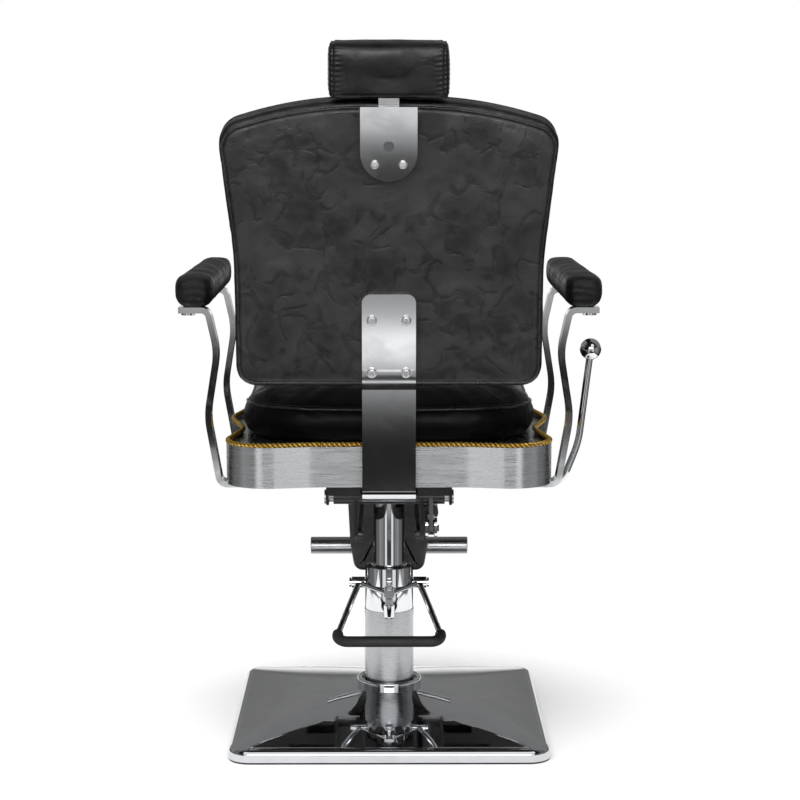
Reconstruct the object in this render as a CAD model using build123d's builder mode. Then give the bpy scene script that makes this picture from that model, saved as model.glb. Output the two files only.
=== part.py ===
"""Hydraulic barber chair: pressed square base, foot-pumped column, scalloped seat, reclining back.

Frame: origin on the floor under the column, +Z up, the sitter faces -Y, millimetres.
Each sub-part is one solid, or one group of identical solids, in its own STEP file.
"""

from build123d import *
import math
import os

os.makedirs("parts", exist_ok=True)

# ---------------------------------------------------------------- base and pump
base_side = 500.0
base_corner = 35.0
base_rim = 21.0
base_bullnose = 12.0
base_sheet = 2.5
crown_sections = ((476.0, 23.0, 24.0), (364.0, 55.0, 40.0), (248.0, 72.0, 53.0), (132.0, 62.0, 62.0))
base_peak = crown_sections[-1][2]
liner_thickness = 3.0
plate_thickness = 8.0

column_radius = 40.0
column_wall = 3.0
column_top = 188.0
flange_radius = 62.0
flange_thickness = 8.0
trim_ring_radius = 52.5
trim_ring_bore = 45.0
trim_ring_height = 11.0
head_radius = 39.0
head_top = 259.0
cylinder_radius = 31.5
cylinder_bore = 28.0
fit = 0.05
ram_radius = 25.0
ram_bore = 18.0
piston_bottom = 118.0
piston_height = 25.0
ram_top = 421.0

# ---------------------------------------------------------------- foot pedal and plunger
pedal_z = 230.0
pedal_hub_radius = 9.0
pedal_hub_near = 39.6
pedal_hub_far = 61.0
pedal_pin_radius = 5.0
pedal_rod = 5.0
pedal_bar_y = 150.0
pedal_travel = 14.0
pedal_bar_z = 168.5
pedal_bar_half = 85.5
pedal_grip_radius = 8.6
lug_y = 50.0
lug_bottom = 218.0
lug_top = 229.0
guide_radius = 8.6
guide_bottom = 181.0
guide_top = 203.0
guide_floor = 184.0
plunger_radius = 6.0
plunger_top = 214.0
plunger_bottom = 197.0
plunger_roof = 4.0
plunger_cup = 4.2
screw_gap = 1.0

# ---------------------------------------------------------------- seat
band_bottom = 432.0
band_top = 494.0
band_sheet = 2.5
timber_top = 482.0
timber_windows = ((0, 360, 204), (181, 300, 48), (-186, 300, 58))
board_top = 488.0
deck_top = 490.0
trim_top = 500.0
trim_width = 8.0
cushion_half = 226.0
cushion_back = 188.0
cushion_front = -236.0
cushion_corner = 112.0
cushion_top = 572.0
cushion_edge = 34.0
cover_sheet = 2.0

# ---------------------------------------------------------------- under-seat mechanism
mech_half = 97.0
mech_front = -246.0
mech_back = 190.0
mech_sheet = 4.0
flange_bottom = 392.0
pivot_z = 403.0
back_pivot_y = 165.0
leg_pivot_y = -232.0
hinge_pin_radius = 8.0
hinge_tube_radius = 11.5
crank_drop = 60.0
link_x = 45.0
link_thickness = 6.0
link_pin_radius = 5.0
strut_x = -65.0
strut_z = 357.0
strut_radius = 14.0
strut_pin_y = 184.0
lever_y = 50.0
lever_z = 402.0
lever_radius = 5.5
ball_radius = 17.0

# ---------------------------------------------------------------- armrests
arm_bar_thickness = 9.0
arm_bar_depth = 30.0
arm_leg_stations = (180.0, -180.0)
arm_pad_inner = 266.0
arm_pad_outer = 326.0
arm_pad_back = 205.0
arm_pad_front = -215.0
arm_board_bottom = 700.0
arm_board_top = 708.0
arm_pad_top = 745.0
arm_screw_x = 306.0

# ---------------------------------------------------------------- back and headrest
back_lean = 5.0
back_foot_y = 266.0
back_foot_z = 592.0
back_front = -88.0
back_board_back = -6.0
back_board_front = -18.0
back_edge = 26.0
strap_width = 80.0
strap_thickness = 7.0
strap_top = 728.0
strap_z = 417.0
strap_foot_y = 273.5
strap_bend_y = 270.5
strap_bend_z = 600.0
strap_foot_turn = 14.0
strap_lean_turn = 300.0
strap_top_corner = 13.0
bolt_half_span = 25.5
bolt_rows = (19.0, 98.0)
bolt_radius = 3.0
guide_low = 320.0
guide_high = 408.0
guide_half = 23.0
guide_depth = 11.0
plaque_half = 41.5
plaque_low = 304.0
plaque_high = 412.0
plaque_depth = 14.0
plaque_sheet = 2.5
plaque_screw_half = 20.5
plaque_screw_y = 329.0
button_y = 355.0
button_radius = 7.5
stem_half_width = 15.0
stem_thickness = 6.0
stem_mid = 5.5
headrest_half = 88.0
headrest_low = 422.0
headrest_high = 505.0
headrest_back = 14.0
headrest_front = -72.0
headrest_pivot = 438.0

# ---------------------------------------------------------------- leg rest
leg_board_back = -250.0
leg_board_front = -262.0
leg_board_top = 398.0
leg_board_bottom = 194.0
leg_board_top_half = 76.0
leg_board_low_half = 60.0
leg_pad_front = -304.0
leg_pad_top = 385.0
leg_pad_bottom = 248.0
footrest_radius = 15.0
footrest_half = 139.0
footrest_y = -300.0
footrest_z = 229.0

UPWARD = (Align.CENTER, Align.CENTER, Align.MIN)

# Plane of the back's rear face: x to the sitter's right, y up the back, z to the rear.
lean = math.radians(back_lean)
back_plane = Plane(
    origin=(0, back_foot_y, back_foot_z),
    x_dir=(-1, 0, 0),
    z_dir=(0, math.cos(lean), -math.sin(lean)),
)


def write(piece, name):
    """Label a finished sub-part and write its STEP file."""
    piece.label = name
    export_step(piece, f"parts/{name}.step")


def ring(outer, inner, bottom, top):
    """Upright round tube about the column's axis, solid when inner is zero."""
    with BuildPart() as tube:
        with BuildSketch(Plane.XY.offset(bottom)):
            Circle(outer)
            if inner > 0:
                Circle(inner, mode=Mode.SUBTRACT)
        extrude(amount=top - bottom)
    return tube.part


def cross_rod(radius, x_from, x_to, y, z):
    """Round rod along X."""
    with BuildPart() as rod:
        with BuildSketch(Plane(origin=(x_from, y, z), x_dir=(0, 1, 0), z_dir=(1, 0, 0))):
            Circle(radius)
        extrude(amount=x_to - x_from)
    return rod.part


def side_plate(points, x_from, x_to):
    """Plate whose outline is given in Y and Z, between two X planes."""
    with BuildPart() as plate:
        with BuildSketch(Plane(origin=(x_from, 0, 0), x_dir=(0, 1, 0), z_dir=(1, 0, 0))):
            Polygon(*points, align=None)
        extrude(amount=x_to - x_from)
    return plate.part


def mirrored(points):
    """Points of the +X half, listed again in reverse order on the -X side."""
    return points + [(-x, y) for x, y in reversed(points)]


# ================================================================ base
def base_form(side, corner, rim, bullnose, drop):
    """Square foot with a rounded rim and a crown that swells up to the column."""
    with BuildPart() as form:
        with BuildSketch(Plane.XY.offset(liner_thickness)):
            RectangleRounded(side, side, corner)
        extrude(amount=rim)
        rim_edges = form.faces().sort_by(Axis.Z)[-1].edges()
        fillet(rim_edges, bullnose)
        for width, rounding, level in crown_sections:
            with BuildSketch(Plane.XY.offset(level - drop)):
                RectangleRounded(width, width, rounding)
        loft()
    return form.part


def make_base():
    """Floor liner, steel plate, hollow chrome shell and the ring around the column."""
    with BuildPart() as floor_liner:
        with BuildSketch():
            RectangleRounded(base_side - 4, base_side - 4, base_corner - 2)
        extrude(amount=liner_thickness)
    write(floor_liner.part, "floor_liner")

    with BuildPart() as base_plate:
        with BuildSketch(Plane.XY.offset(liner_thickness)):
            plate_side = base_side - 2 * base_sheet - 1
            RectangleRounded(plate_side, plate_side, base_corner - base_sheet - 0.5)
        extrude(amount=plate_thickness)
    write(base_plate.part, "base_plate")

    outside = base_form(base_side, base_corner, base_rim, base_bullnose, 0)
    inside = base_form(base_side - 2 * base_sheet, base_corner - base_sheet,
                       base_rim - base_sheet, base_bullnose - base_sheet, base_sheet)
    with BuildPart() as base_shell:
        add(outside)
        add(inside, mode=Mode.SUBTRACT)
        with Locations((0, 0, base_peak)):
            Cylinder(column_radius + 0.5, 30, mode=Mode.SUBTRACT)
    write(base_shell.part, "base_shell")

    with BuildPart() as base_trim_ring:
        add(ring(trim_ring_radius, trim_ring_bore, base_peak, base_peak + trim_ring_height))
        top_edges = base_trim_ring.faces().sort_by(Axis.Z)[-1].edges()
        fillet(top_edges, 3.5)
    write(base_trim_ring.part, "base_trim_ring")


# ================================================================ pump
def make_pump():
    """Reservoir tube, pump head, inner cylinder, gland, ram and piston."""
    tube_bottom = liner_thickness + plate_thickness
    with BuildPart() as outer_tube:
        add(ring(flange_radius, cylinder_radius + 0.2, tube_bottom, tube_bottom + flange_thickness))
        add(ring(column_radius, column_radius - column_wall, tube_bottom + flange_thickness,
                 column_top))
    write(outer_tube.part, "outer_tube")

    with BuildPart() as inner_cylinder:
        add(ring(cylinder_radius, cylinder_bore, tube_bottom, head_top - 20))
        add(ring(cylinder_bore, 0, tube_bottom, tube_bottom + 6))
    write(inner_cylinder.part, "inner_cylinder")

    with BuildPart() as pump_head:
        add(ring(head_radius, cylinder_radius + 0.1, column_top, head_top))
        add(ring(column_radius - column_wall - 0.1, cylinder_radius + 0.1, column_top - 18,
                 column_top))
        add(ring(36.6, 0, head_top - 7, head_top), mode=Mode.SUBTRACT)
        pin_reach = 6
        for side in (-1, 1):
            add(cross_rod(pedal_pin_radius + 0.02, side * (head_radius + 1),
                          side * (head_radius - pin_reach), 0, pedal_z), mode=Mode.SUBTRACT)
        top_rim = pump_head.edges().filter_by(GeomType.CIRCLE).sort_by(Axis.Z)[-1]
        chamfer(top_rim, 0.6)
        with BuildSketch(Plane.XY.offset(guide_bottom + 9)):
            with Locations((0, head_radius + 2)):
                Rectangle(9, 10)
        extrude(amount=9)
        with Locations((0, lug_y, guide_bottom + 9)):
            Cylinder(guide_radius + 0.02, 9, align=UPWARD, mode=Mode.SUBTRACT)
    write(pump_head.part, "pump_head")

    write(ring(36.4, 29.1, head_top - 7, head_top - 2), "pump_cap")

    with BuildPart() as gland_nut:
        add(ring(29.0, ram_radius + fit, head_top - 19, head_top + 3))
        top_edges = gland_nut.faces().sort_by(Axis.Z)[-1].edges()
        chamfer(top_edges, 1.2)
    write(gland_nut.part, "gland_nut")

    piston_top = piston_bottom + piston_height
    with BuildPart() as piston:
        add(ring(cylinder_bore - fit, 0, piston_bottom, piston_top))
        add(ring(ram_bore - fit, 0, piston_top, piston_top + 22))
        add(ring(cylinder_bore, 24.5, piston_bottom + 10, piston_bottom + 15), mode=Mode.SUBTRACT)
    write(piston.part, "piston")
    write(ring(cylinder_bore - 0.03, 24.6, piston_bottom + 10.1, piston_bottom + 14.9),
          "piston_seal")

    write(ring(ram_radius, ram_bore, piston_top + 0.3, ram_top), "ram")


def make_pedal():
    """Foot pedal yoke on two side pins, its rubber grip, and the spring plunger that it pushes."""
    with BuildPart() as pedal_pins:
        for side in (-1, 1):
            inner = side * (head_radius - 5.8)
            outer = side * (pedal_hub_far + 1)
            add(cross_rod(pedal_pin_radius, inner, outer, 0, pedal_z))
            add(cross_rod(pedal_pin_radius + 2.5, outer, side * (pedal_hub_far + 4), 0, pedal_z))
    write(pedal_pins.part, "pedal_pins")

    with BuildPart() as pedal_yoke:
        for side in (-1, 1):
            add(cross_rod(pedal_hub_radius, side * pedal_hub_near, side * pedal_hub_far, 0,
                          pedal_z))
        with BuildLine() as rail:
            FilletPolyline(
                (-50, 4, pedal_z - 1.5),
                (-pedal_bar_half, pedal_bar_y, pedal_bar_z),
                (pedal_bar_half, pedal_bar_y, pedal_bar_z),
                (50, 4, pedal_z - 1.5),
                radius=16,
            )
        with BuildSketch(Plane(origin=rail.line @ 0, z_dir=rail.line % 0)):
            Circle(pedal_rod)
        sweep()
        with Locations((0, lug_y, (lug_bottom + lug_top) / 2)):
            Box(16, 15, lug_top - lug_bottom)
        lug_level = (lug_bottom + lug_top) / 2
        for side in (-1, 1):
            start = Vector(side * 46, 5, pedal_z - 1)
            stop = Vector(side * 5, lug_y, lug_level)
            with BuildSketch(Plane(origin=start, z_dir=stop - start)):
                Circle(4.2)
            extrude(amount=(stop - start).length)
            add(cross_rod(pedal_pin_radius + fit, side * (head_radius - 1),
                          side * (pedal_hub_far + 1), 0, pedal_z), mode=Mode.SUBTRACT)
        with Locations((0, lug_y, lug_bottom - 1)):
            Cylinder(4.05, lug_top - lug_bottom + 2, align=UPWARD, mode=Mode.SUBTRACT)
        add(ring(head_radius + 0.35, 0, 190, 262), mode=Mode.SUBTRACT)
        swing_steps = 7
        for step in range(1, swing_steps + 1):
            swing = Location((0, 0, pedal_z), (pedal_travel * step / swing_steps, 0, 0))
            with Locations(swing):
                Cylinder(head_radius + 0.5, 120, mode=Mode.SUBTRACT)
    write(pedal_yoke.part, "pedal_yoke")

    with BuildPart() as pedal_grip:
        grip_rise = 12
        along = grip_rise / math.dist((50, 4, pedal_z), (pedal_bar_half, pedal_bar_y, pedal_bar_z))
        corner = Vector(pedal_bar_half, pedal_bar_y, pedal_bar_z)
        toward = (Vector(50, 4, pedal_z - 1.5) - corner) * (along + 0.06)
        end = corner + toward
        with BuildLine() as bar:
            FilletPolyline(
                (-end.X, end.Y, end.Z),
                (-corner.X, corner.Y, corner.Z),
                (corner.X, corner.Y, corner.Z),
                (end.X, end.Y, end.Z),
                radius=16,
            )
        with BuildSketch(Plane(origin=bar.line @ 0, z_dir=bar.line % 0)):
            Circle(pedal_grip_radius)
            Circle(pedal_rod + 0.02, mode=Mode.SUBTRACT)
        sweep()
    write(pedal_grip.part, "pedal_grip")

    with BuildPart() as adjusting_screw:
        with Locations((0, lug_y, plunger_top + screw_gap)):
            Cylinder(4, 27, align=UPWARD)
        with BuildSketch(Plane.XY.offset(lug_top + 0.01)):
            with Locations((0, lug_y)):
                RegularPolygon(7, 6)
        extrude(amount=6)
    write(adjusting_screw.part, "adjusting_screw")

    with BuildPart() as plunger_guide:
        with Locations((0, lug_y, guide_bottom)):
            Cylinder(guide_radius, guide_top - guide_bottom, align=UPWARD)
        fillet(plunger_guide.faces().sort_by(Axis.Z)[0].edges(), 4)
        with Locations((0, lug_y, guide_floor)):
            Cylinder(plunger_radius + fit, 30, align=UPWARD, mode=Mode.SUBTRACT)
    write(plunger_guide.part, "plunger_guide")

    with BuildPart() as plunger:
        with Locations((0, lug_y, plunger_bottom)):
            Cylinder(plunger_radius, plunger_top - plunger_bottom, align=UPWARD)
            Cylinder(plunger_cup, plunger_top - plunger_bottom - plunger_roof, align=UPWARD,
                     mode=Mode.SUBTRACT)
    write(plunger.part, "plunger")

    spring_low = guide_floor + 0.05
    spring_high = plunger_top - plunger_roof - 0.05
    wire = 0.7
    with BuildPart() as plunger_spring:
        rise = spring_high - spring_low - 2 * wire
        with BuildLine():
            Helix(pitch=rise / 5, height=rise, radius=plunger_cup - wire - 0.3,
                  center=(0, lug_y, spring_low + wire))
        with BuildSketch(Plane(origin=(plunger_cup - wire - 0.3, lug_y, spring_low + wire),
                               z_dir=(0, 1, 0.25))):
            Circle(wire)
        sweep(is_frenet=True)
    write(plunger_spring.part, "plunger_spring")


# ================================================================ seat
def seat_outline(inset):
    """Scalloped seat outline: rear corner lobes, waists, a middle lobe and a bowed front."""
    half = [
        (112, 246), (264, 274), (230, 85), (260, -35), (236, -150), (250, -262), (112, -248),
    ]
    turns = [90, 64, 120, 140, 140, 60, 100]
    with BuildSketch() as outline:
        with BuildLine():
            FilletPolyline(*mirrored(half), radius=turns + turns[::-1], close=True)
        make_face()
        if inset:
            offset(amount=-inset)
    return outline.sketch


def outline_slab(inset, bottom, top):
    """Solid slab of the seat's outline."""
    with BuildPart() as slab:
        with BuildSketch(Plane.XY.offset(bottom)):
            add(seat_outline(inset))
        extrude(amount=top - bottom)
    return slab.part


def seat_cushion(shrink, bottom):
    """Rounded cushion form with a soft top edge, drawn in by the given amount."""
    half = cushion_half - shrink
    length = cushion_back - cushion_front - 2 * shrink
    with BuildPart() as cushion:
        with BuildSketch(Plane.XY.offset(bottom)):
            with Locations((0, (cushion_back + cushion_front) / 2)):
                RectangleRounded(2 * half, length, cushion_corner - shrink)
        extrude(amount=cushion_top - shrink - bottom)
        fillet(cushion.faces().sort_by(Axis.Z)[-1].edges(), cushion_edge - shrink)
    return cushion.part


def make_seat():
    """Timber frame inside a metal band, deck, rope trim, foam and cover."""
    with BuildPart() as seat_band:
        add(outline_slab(0, band_bottom, band_top))
        add(outline_slab(band_sheet, band_bottom - 1, band_top + 1), mode=Mode.SUBTRACT)
    write(seat_band.part, "seat_band")

    frame_gap = band_sheet + 0.2
    with BuildPart() as seat_timber:
        add(outline_slab(frame_gap, band_bottom, timber_top))
        with BuildSketch(Plane.XY.offset(band_bottom)):
            for middle, width, length in timber_windows:
                with Locations((0, middle)):
                    Rectangle(width, length)
        extrude(amount=timber_top - band_bottom, mode=Mode.SUBTRACT)
    write(seat_timber.part, "seat_timber")

    write(outline_slab(frame_gap, timber_top, board_top), "seat_board")
    write(outline_slab(frame_gap, board_top, deck_top), "seat_deck")

    with BuildPart() as seat_trim:
        add(outline_slab(-1, band_top, trim_top))
        add(outline_slab(trim_width - 1, band_top - 1, trim_top + 1), mode=Mode.SUBTRACT)
    write(seat_trim.part, "seat_trim")

    core_gap = cover_sheet + 0.1
    write(seat_cushion(core_gap, deck_top), "seat_foam")
    with BuildPart() as seat_cover:
        add(seat_cushion(0, deck_top))
        add(seat_cushion(cover_sheet, deck_top - 1), mode=Mode.SUBTRACT)
    write(seat_cover.part, "seat_cover")


# ================================================================ mechanism
def make_mechanism():
    """Ram socket, folded frame, hinge pins and the lock strut under the seat."""
    mount_bolt_half = 55
    mount_low = band_bottom - mech_sheet - 6
    with BuildPart() as ram_socket:
        add(ring(35, ram_radius + 0.02, mount_low - 44, mount_low))
        with BuildSketch(Plane.XY.offset(mount_low)):
            RectangleRounded(150, 150, 12)
        extrude(amount=6)
        with Locations((0, 0, mount_low)):
            with GridLocations(2 * mount_bolt_half, 2 * mount_bolt_half, 2, 2):
                Hole(radius=5.05)
    write(ram_socket.part, "ram_socket")

    with BuildPart() as mount_bolts:
        with GridLocations(2 * mount_bolt_half, 2 * mount_bolt_half, 2, 2):
            with Locations((0, 0, mount_low - 5.2)):
                Cylinder(8, 5.2, align=UPWARD)
            with Locations((0, 0, mount_low)):
                Cylinder(5, 14, align=UPWARD)
    write(mount_bolts.part, "mount_bolts")

    plate_low = band_bottom - mech_sheet
    with BuildPart() as mech_frame:
        with BuildSketch(Plane.XY.offset(plate_low)):
            with Locations((0, (mech_front + mech_back) / 2)):
                Rectangle(2 * mech_half, mech_back - mech_front)
            with GridLocations(2 * mount_bolt_half, 2 * mount_bolt_half, 2, 2):
                Circle(5.05, mode=Mode.SUBTRACT)
        extrude(amount=mech_sheet)
        ears = [
            (mech_back, plate_low), (mech_back, 404), (178, flange_bottom), (20, flange_bottom),
            (0, 404), (-200, 404), (-215, flange_bottom), (mech_front, flange_bottom),
            (mech_front, plate_low),
        ]
        for side in (-1, 1):
            add(side_plate(ears, side * mech_half, side * (mech_half - mech_sheet)))
            with BuildSketch(Plane.XZ.offset(-mech_back)):
                with Locations((side * 70, plate_low - 9)):
                    Rectangle(52, 20)
            extrude(amount=mech_sheet)
            for y, z, radius in ((back_pivot_y, pivot_z, hinge_pin_radius + 0.02),
                                 (leg_pivot_y, pivot_z, hinge_pin_radius + 0.02),
                                 (lever_y, lever_z, lever_radius + fit)):
                add(cross_rod(radius, side * (mech_half + 1), side * (mech_half - mech_sheet - 1),
                              y, z), mode=Mode.SUBTRACT)
    write(mech_frame.part, "mech_frame")

    with BuildPart() as hinge_pins:
        for y in (back_pivot_y, leg_pivot_y):
            add(cross_rod(hinge_pin_radius, -mech_half - 0.1, mech_half + 0.1, y, pivot_z))
            for side in (-1, 1):
                add(cross_rod(hinge_pin_radius + 3, side * (mech_half + 0.1),
                              side * (mech_half + 3), y, pivot_z))
    write(hinge_pins.part, "hinge_pins")

    strut_front = -150
    strut_back = 60
    with BuildPart() as strut_cylinder:
        with BuildSketch(Plane.XZ.offset(-strut_front)):
            with Locations((strut_x, strut_z)):
                Circle(strut_radius)
        extrude(amount=-(strut_back - strut_front))
        fillet(strut_cylinder.faces().sort_by(Axis.Y)[-1].edges(), 3)
        bracket = [
            (strut_front + 4, strut_z - 8), (strut_front + 34, strut_z - 8),
            (strut_front + 26, plate_low), (strut_front - 4, plate_low),
        ]
        add(side_plate(bracket, strut_x - 10, strut_x + 10))
        with BuildSketch(Plane.XZ.offset(1)):
            with Locations((strut_x, strut_z)):
                Circle(lever_radius - 0.5 + fit)
        extrude(amount=-90, mode=Mode.SUBTRACT)
        with BuildSketch(Plane.XZ.offset(100)):
            with Locations((strut_x, strut_z)):
                Circle(10)
        extrude(amount=-145, mode=Mode.SUBTRACT)
    write(strut_cylinder.part, "strut_cylinder")


def make_strut_rod():
    """Rod of the lock strut with the fork that takes the back's crank pin."""
    rod_front = 0
    fork_front = 151
    fork_back = 198
    fork_block = 11
    with BuildPart() as strut_rod:
        with BuildSketch(Plane.XZ.offset(-rod_front)):
            with Locations((strut_x, strut_z)):
                Circle(lever_radius - 0.5)
        extrude(amount=-(fork_front - rod_front))
        with Locations((strut_x, (fork_front + fork_back) / 2, strut_z + 1)):
            Box(18, fork_back - fork_front, 32)
        fillet(strut_rod.edges().filter_by(Axis.X).group_by(Axis.Y)[-1], 12)
        with Locations((strut_x, fork_front + fork_block, strut_z)):
            Box(10, 50, 60, align=(Align.CENTER, Align.MIN, Align.CENTER), mode=Mode.SUBTRACT)
        slot_half = link_pin_radius + 0.8
        with Locations((strut_x, strut_pin_y, strut_z - 2)):
            Box(30, 2 * slot_half, 16, mode=Mode.SUBTRACT)
    write(strut_rod.part, "strut_rod")


def make_lever():
    """Recline lever: a bent rod through the frame with a ball knob."""
    with BuildPart() as lever_rod:
        with BuildLine() as path:
            FilletPolyline(
                (-62, lever_y, lever_z),
                (-276, lever_y, lever_z),
                (-303, lever_y, 470),
                (-319, lever_y, 604),
                radius=[36, 150],
            )
        with BuildSketch(Plane(origin=path.line @ 0, z_dir=path.line % 0)):
            Circle(lever_radius)
        sweep()
    write(lever_rod.part, "lever_rod")

    with BuildPart() as lever_ball:
        with Locations((-320.6, lever_y, 604.2 + ball_radius * 0.93)):
            Sphere(ball_radius)
        with Locations(Location((-319, lever_y, 604.2), (0, -7, 0))):
            Cylinder(lever_radius + 2, 6, align=UPWARD)
        with BuildSketch(Plane(origin=(-319, lever_y, 604.2), z_dir=(-0.12, 0, 1))):
            Rectangle(60, 60)
        extrude(amount=-30, mode=Mode.SUBTRACT)
    write(lever_ball.part, "lever_ball")


# ================================================================ armrests
def arm_leg(station):
    """Bent flat bar: foot under the pad, S-shaped leg, hook under the seat band."""
    pad_level = arm_board_bottom - arm_bar_thickness / 2 - 0.1
    hook_level = band_bottom - arm_bar_thickness / 2 - 0.1
    with BuildPart() as leg:
        with BuildLine():
            FilletPolyline(
                (320, station, pad_level),
                (276, station, pad_level),
                (262, station, 632),
                (278, station, 533),
                (259.5, station, hook_level),
                (206, station, hook_level),
                radius=[12, 110, 120, 14],
            )
        with BuildSketch(Plane(origin=(320, station, pad_level), x_dir=(0, 1, 0),
                               z_dir=(-1, 0, 0))):
            Rectangle(arm_bar_depth, arm_bar_thickness)
        sweep()
        with Locations((arm_screw_x, station, pad_level - 8)):
            Cylinder(3.05, 20, align=UPWARD, mode=Mode.SUBTRACT)
    return leg.part


def arm_slab(inner, outer, front, back, bottom, top, corner):
    """Long armrest slab on the +X side with rounded ends."""
    with BuildPart() as slab:
        with BuildSketch(Plane.XY.offset(bottom)):
            with Locations(((inner + outer) / 2, (front + back) / 2)):
                RectangleRounded(outer - inner, back - front, corner)
        extrude(amount=top - bottom)
    return slab.part


def make_arms():
    """Two armrests: legs, boards, padded tops and the screws with round heads."""
    with BuildPart() as legs:
        for station in arm_leg_stations:
            add(arm_leg(station))
    with BuildPart() as pad:
        add(arm_slab(arm_pad_inner, arm_pad_outer, arm_pad_front, arm_pad_back, arm_board_top,
                     arm_pad_top, 22))
        fillet(pad.faces().sort_by(Axis.Z)[-1].edges(), 12)
    for side, name in ((1, "left"), (-1, "right")):
        with BuildPart() as side_legs:
            add(legs.part if side > 0 else mirror(legs.part, about=Plane.YZ, mode=Mode.PRIVATE))
        write(side_legs.part, f"arm_legs_{name}")
        with BuildPart() as side_pad:
            add(pad.part if side > 0 else mirror(pad.part, about=Plane.YZ, mode=Mode.PRIVATE))
        write(side_pad.part, f"arm_pad_{name}")

    with BuildPart() as arm_boards:
        add(arm_slab(arm_pad_inner + 5, arm_pad_outer - 5, arm_pad_front + 5, arm_pad_back - 5,
                     arm_board_bottom, arm_board_top, 18))
        for station in arm_leg_stations:
            with Locations((arm_screw_x, station, arm_board_bottom)):
                Cylinder(3.05, 7, align=UPWARD, mode=Mode.SUBTRACT)
        mirror(about=Plane.YZ)
    write(arm_boards.part, "arm_boards")

    with BuildPart() as arm_screws:
        foot_low = arm_board_bottom - arm_bar_thickness - 0.2
        for station in arm_leg_stations:
            with Locations((arm_screw_x, station, foot_low - 3.5)):
                Cylinder(10.5, 3.4, align=UPWARD)
                Cylinder(3, 17, align=UPWARD)
        mirror(about=Plane.YZ)
    write(arm_screws.part, "arm_screws")


# ================================================================ back
def back_outline(inset):
    """Back outline: narrow foot, flared shoulders and an arched top."""
    half = [(130, 420), (252, 382), (229, 190), (228, -5)]
    turns = [600, 36, 500, 30]
    with BuildSketch() as outline:
        with BuildLine():
            FilletPolyline(*mirrored(half), radius=turns + turns[::-1], close=True)
        make_face()
        if inset:
            offset(amount=-inset)
    return outline.sketch


def back_slab(inset, front, rear):
    """Slab of the back's outline between two distances from its rear face."""
    with BuildPart() as slab:
        with BuildSketch(back_plane.offset(front)):
            add(back_outline(inset))
        extrude(amount=rear - front)
    return slab.part


def back_pillow(shrink, rear):
    """Front cushion of the back with a soft front edge."""
    with BuildPart() as pillow:
        add(back_slab(shrink, back_front + shrink, rear))
        front_face = pillow.faces().sort_by(Axis.Y)[0]
        fillet(front_face.edges(), back_edge - shrink)
    return pillow.part


def on_back(points, radius, front, rear):
    """Round rods square to the back's rear face, used for bolts and for their holes."""
    with BuildPart() as rods:
        with BuildSketch(back_plane.offset(front)):
            with Locations(*points):
                Circle(radius)
        extrude(amount=rear - front)
    return rods.part


bolt_points = [(x, y) for y in bolt_rows for x in (-bolt_half_span, bolt_half_span)]
screw_points = [(-plaque_screw_half, plaque_screw_y), (plaque_screw_half, plaque_screw_y)]


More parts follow.
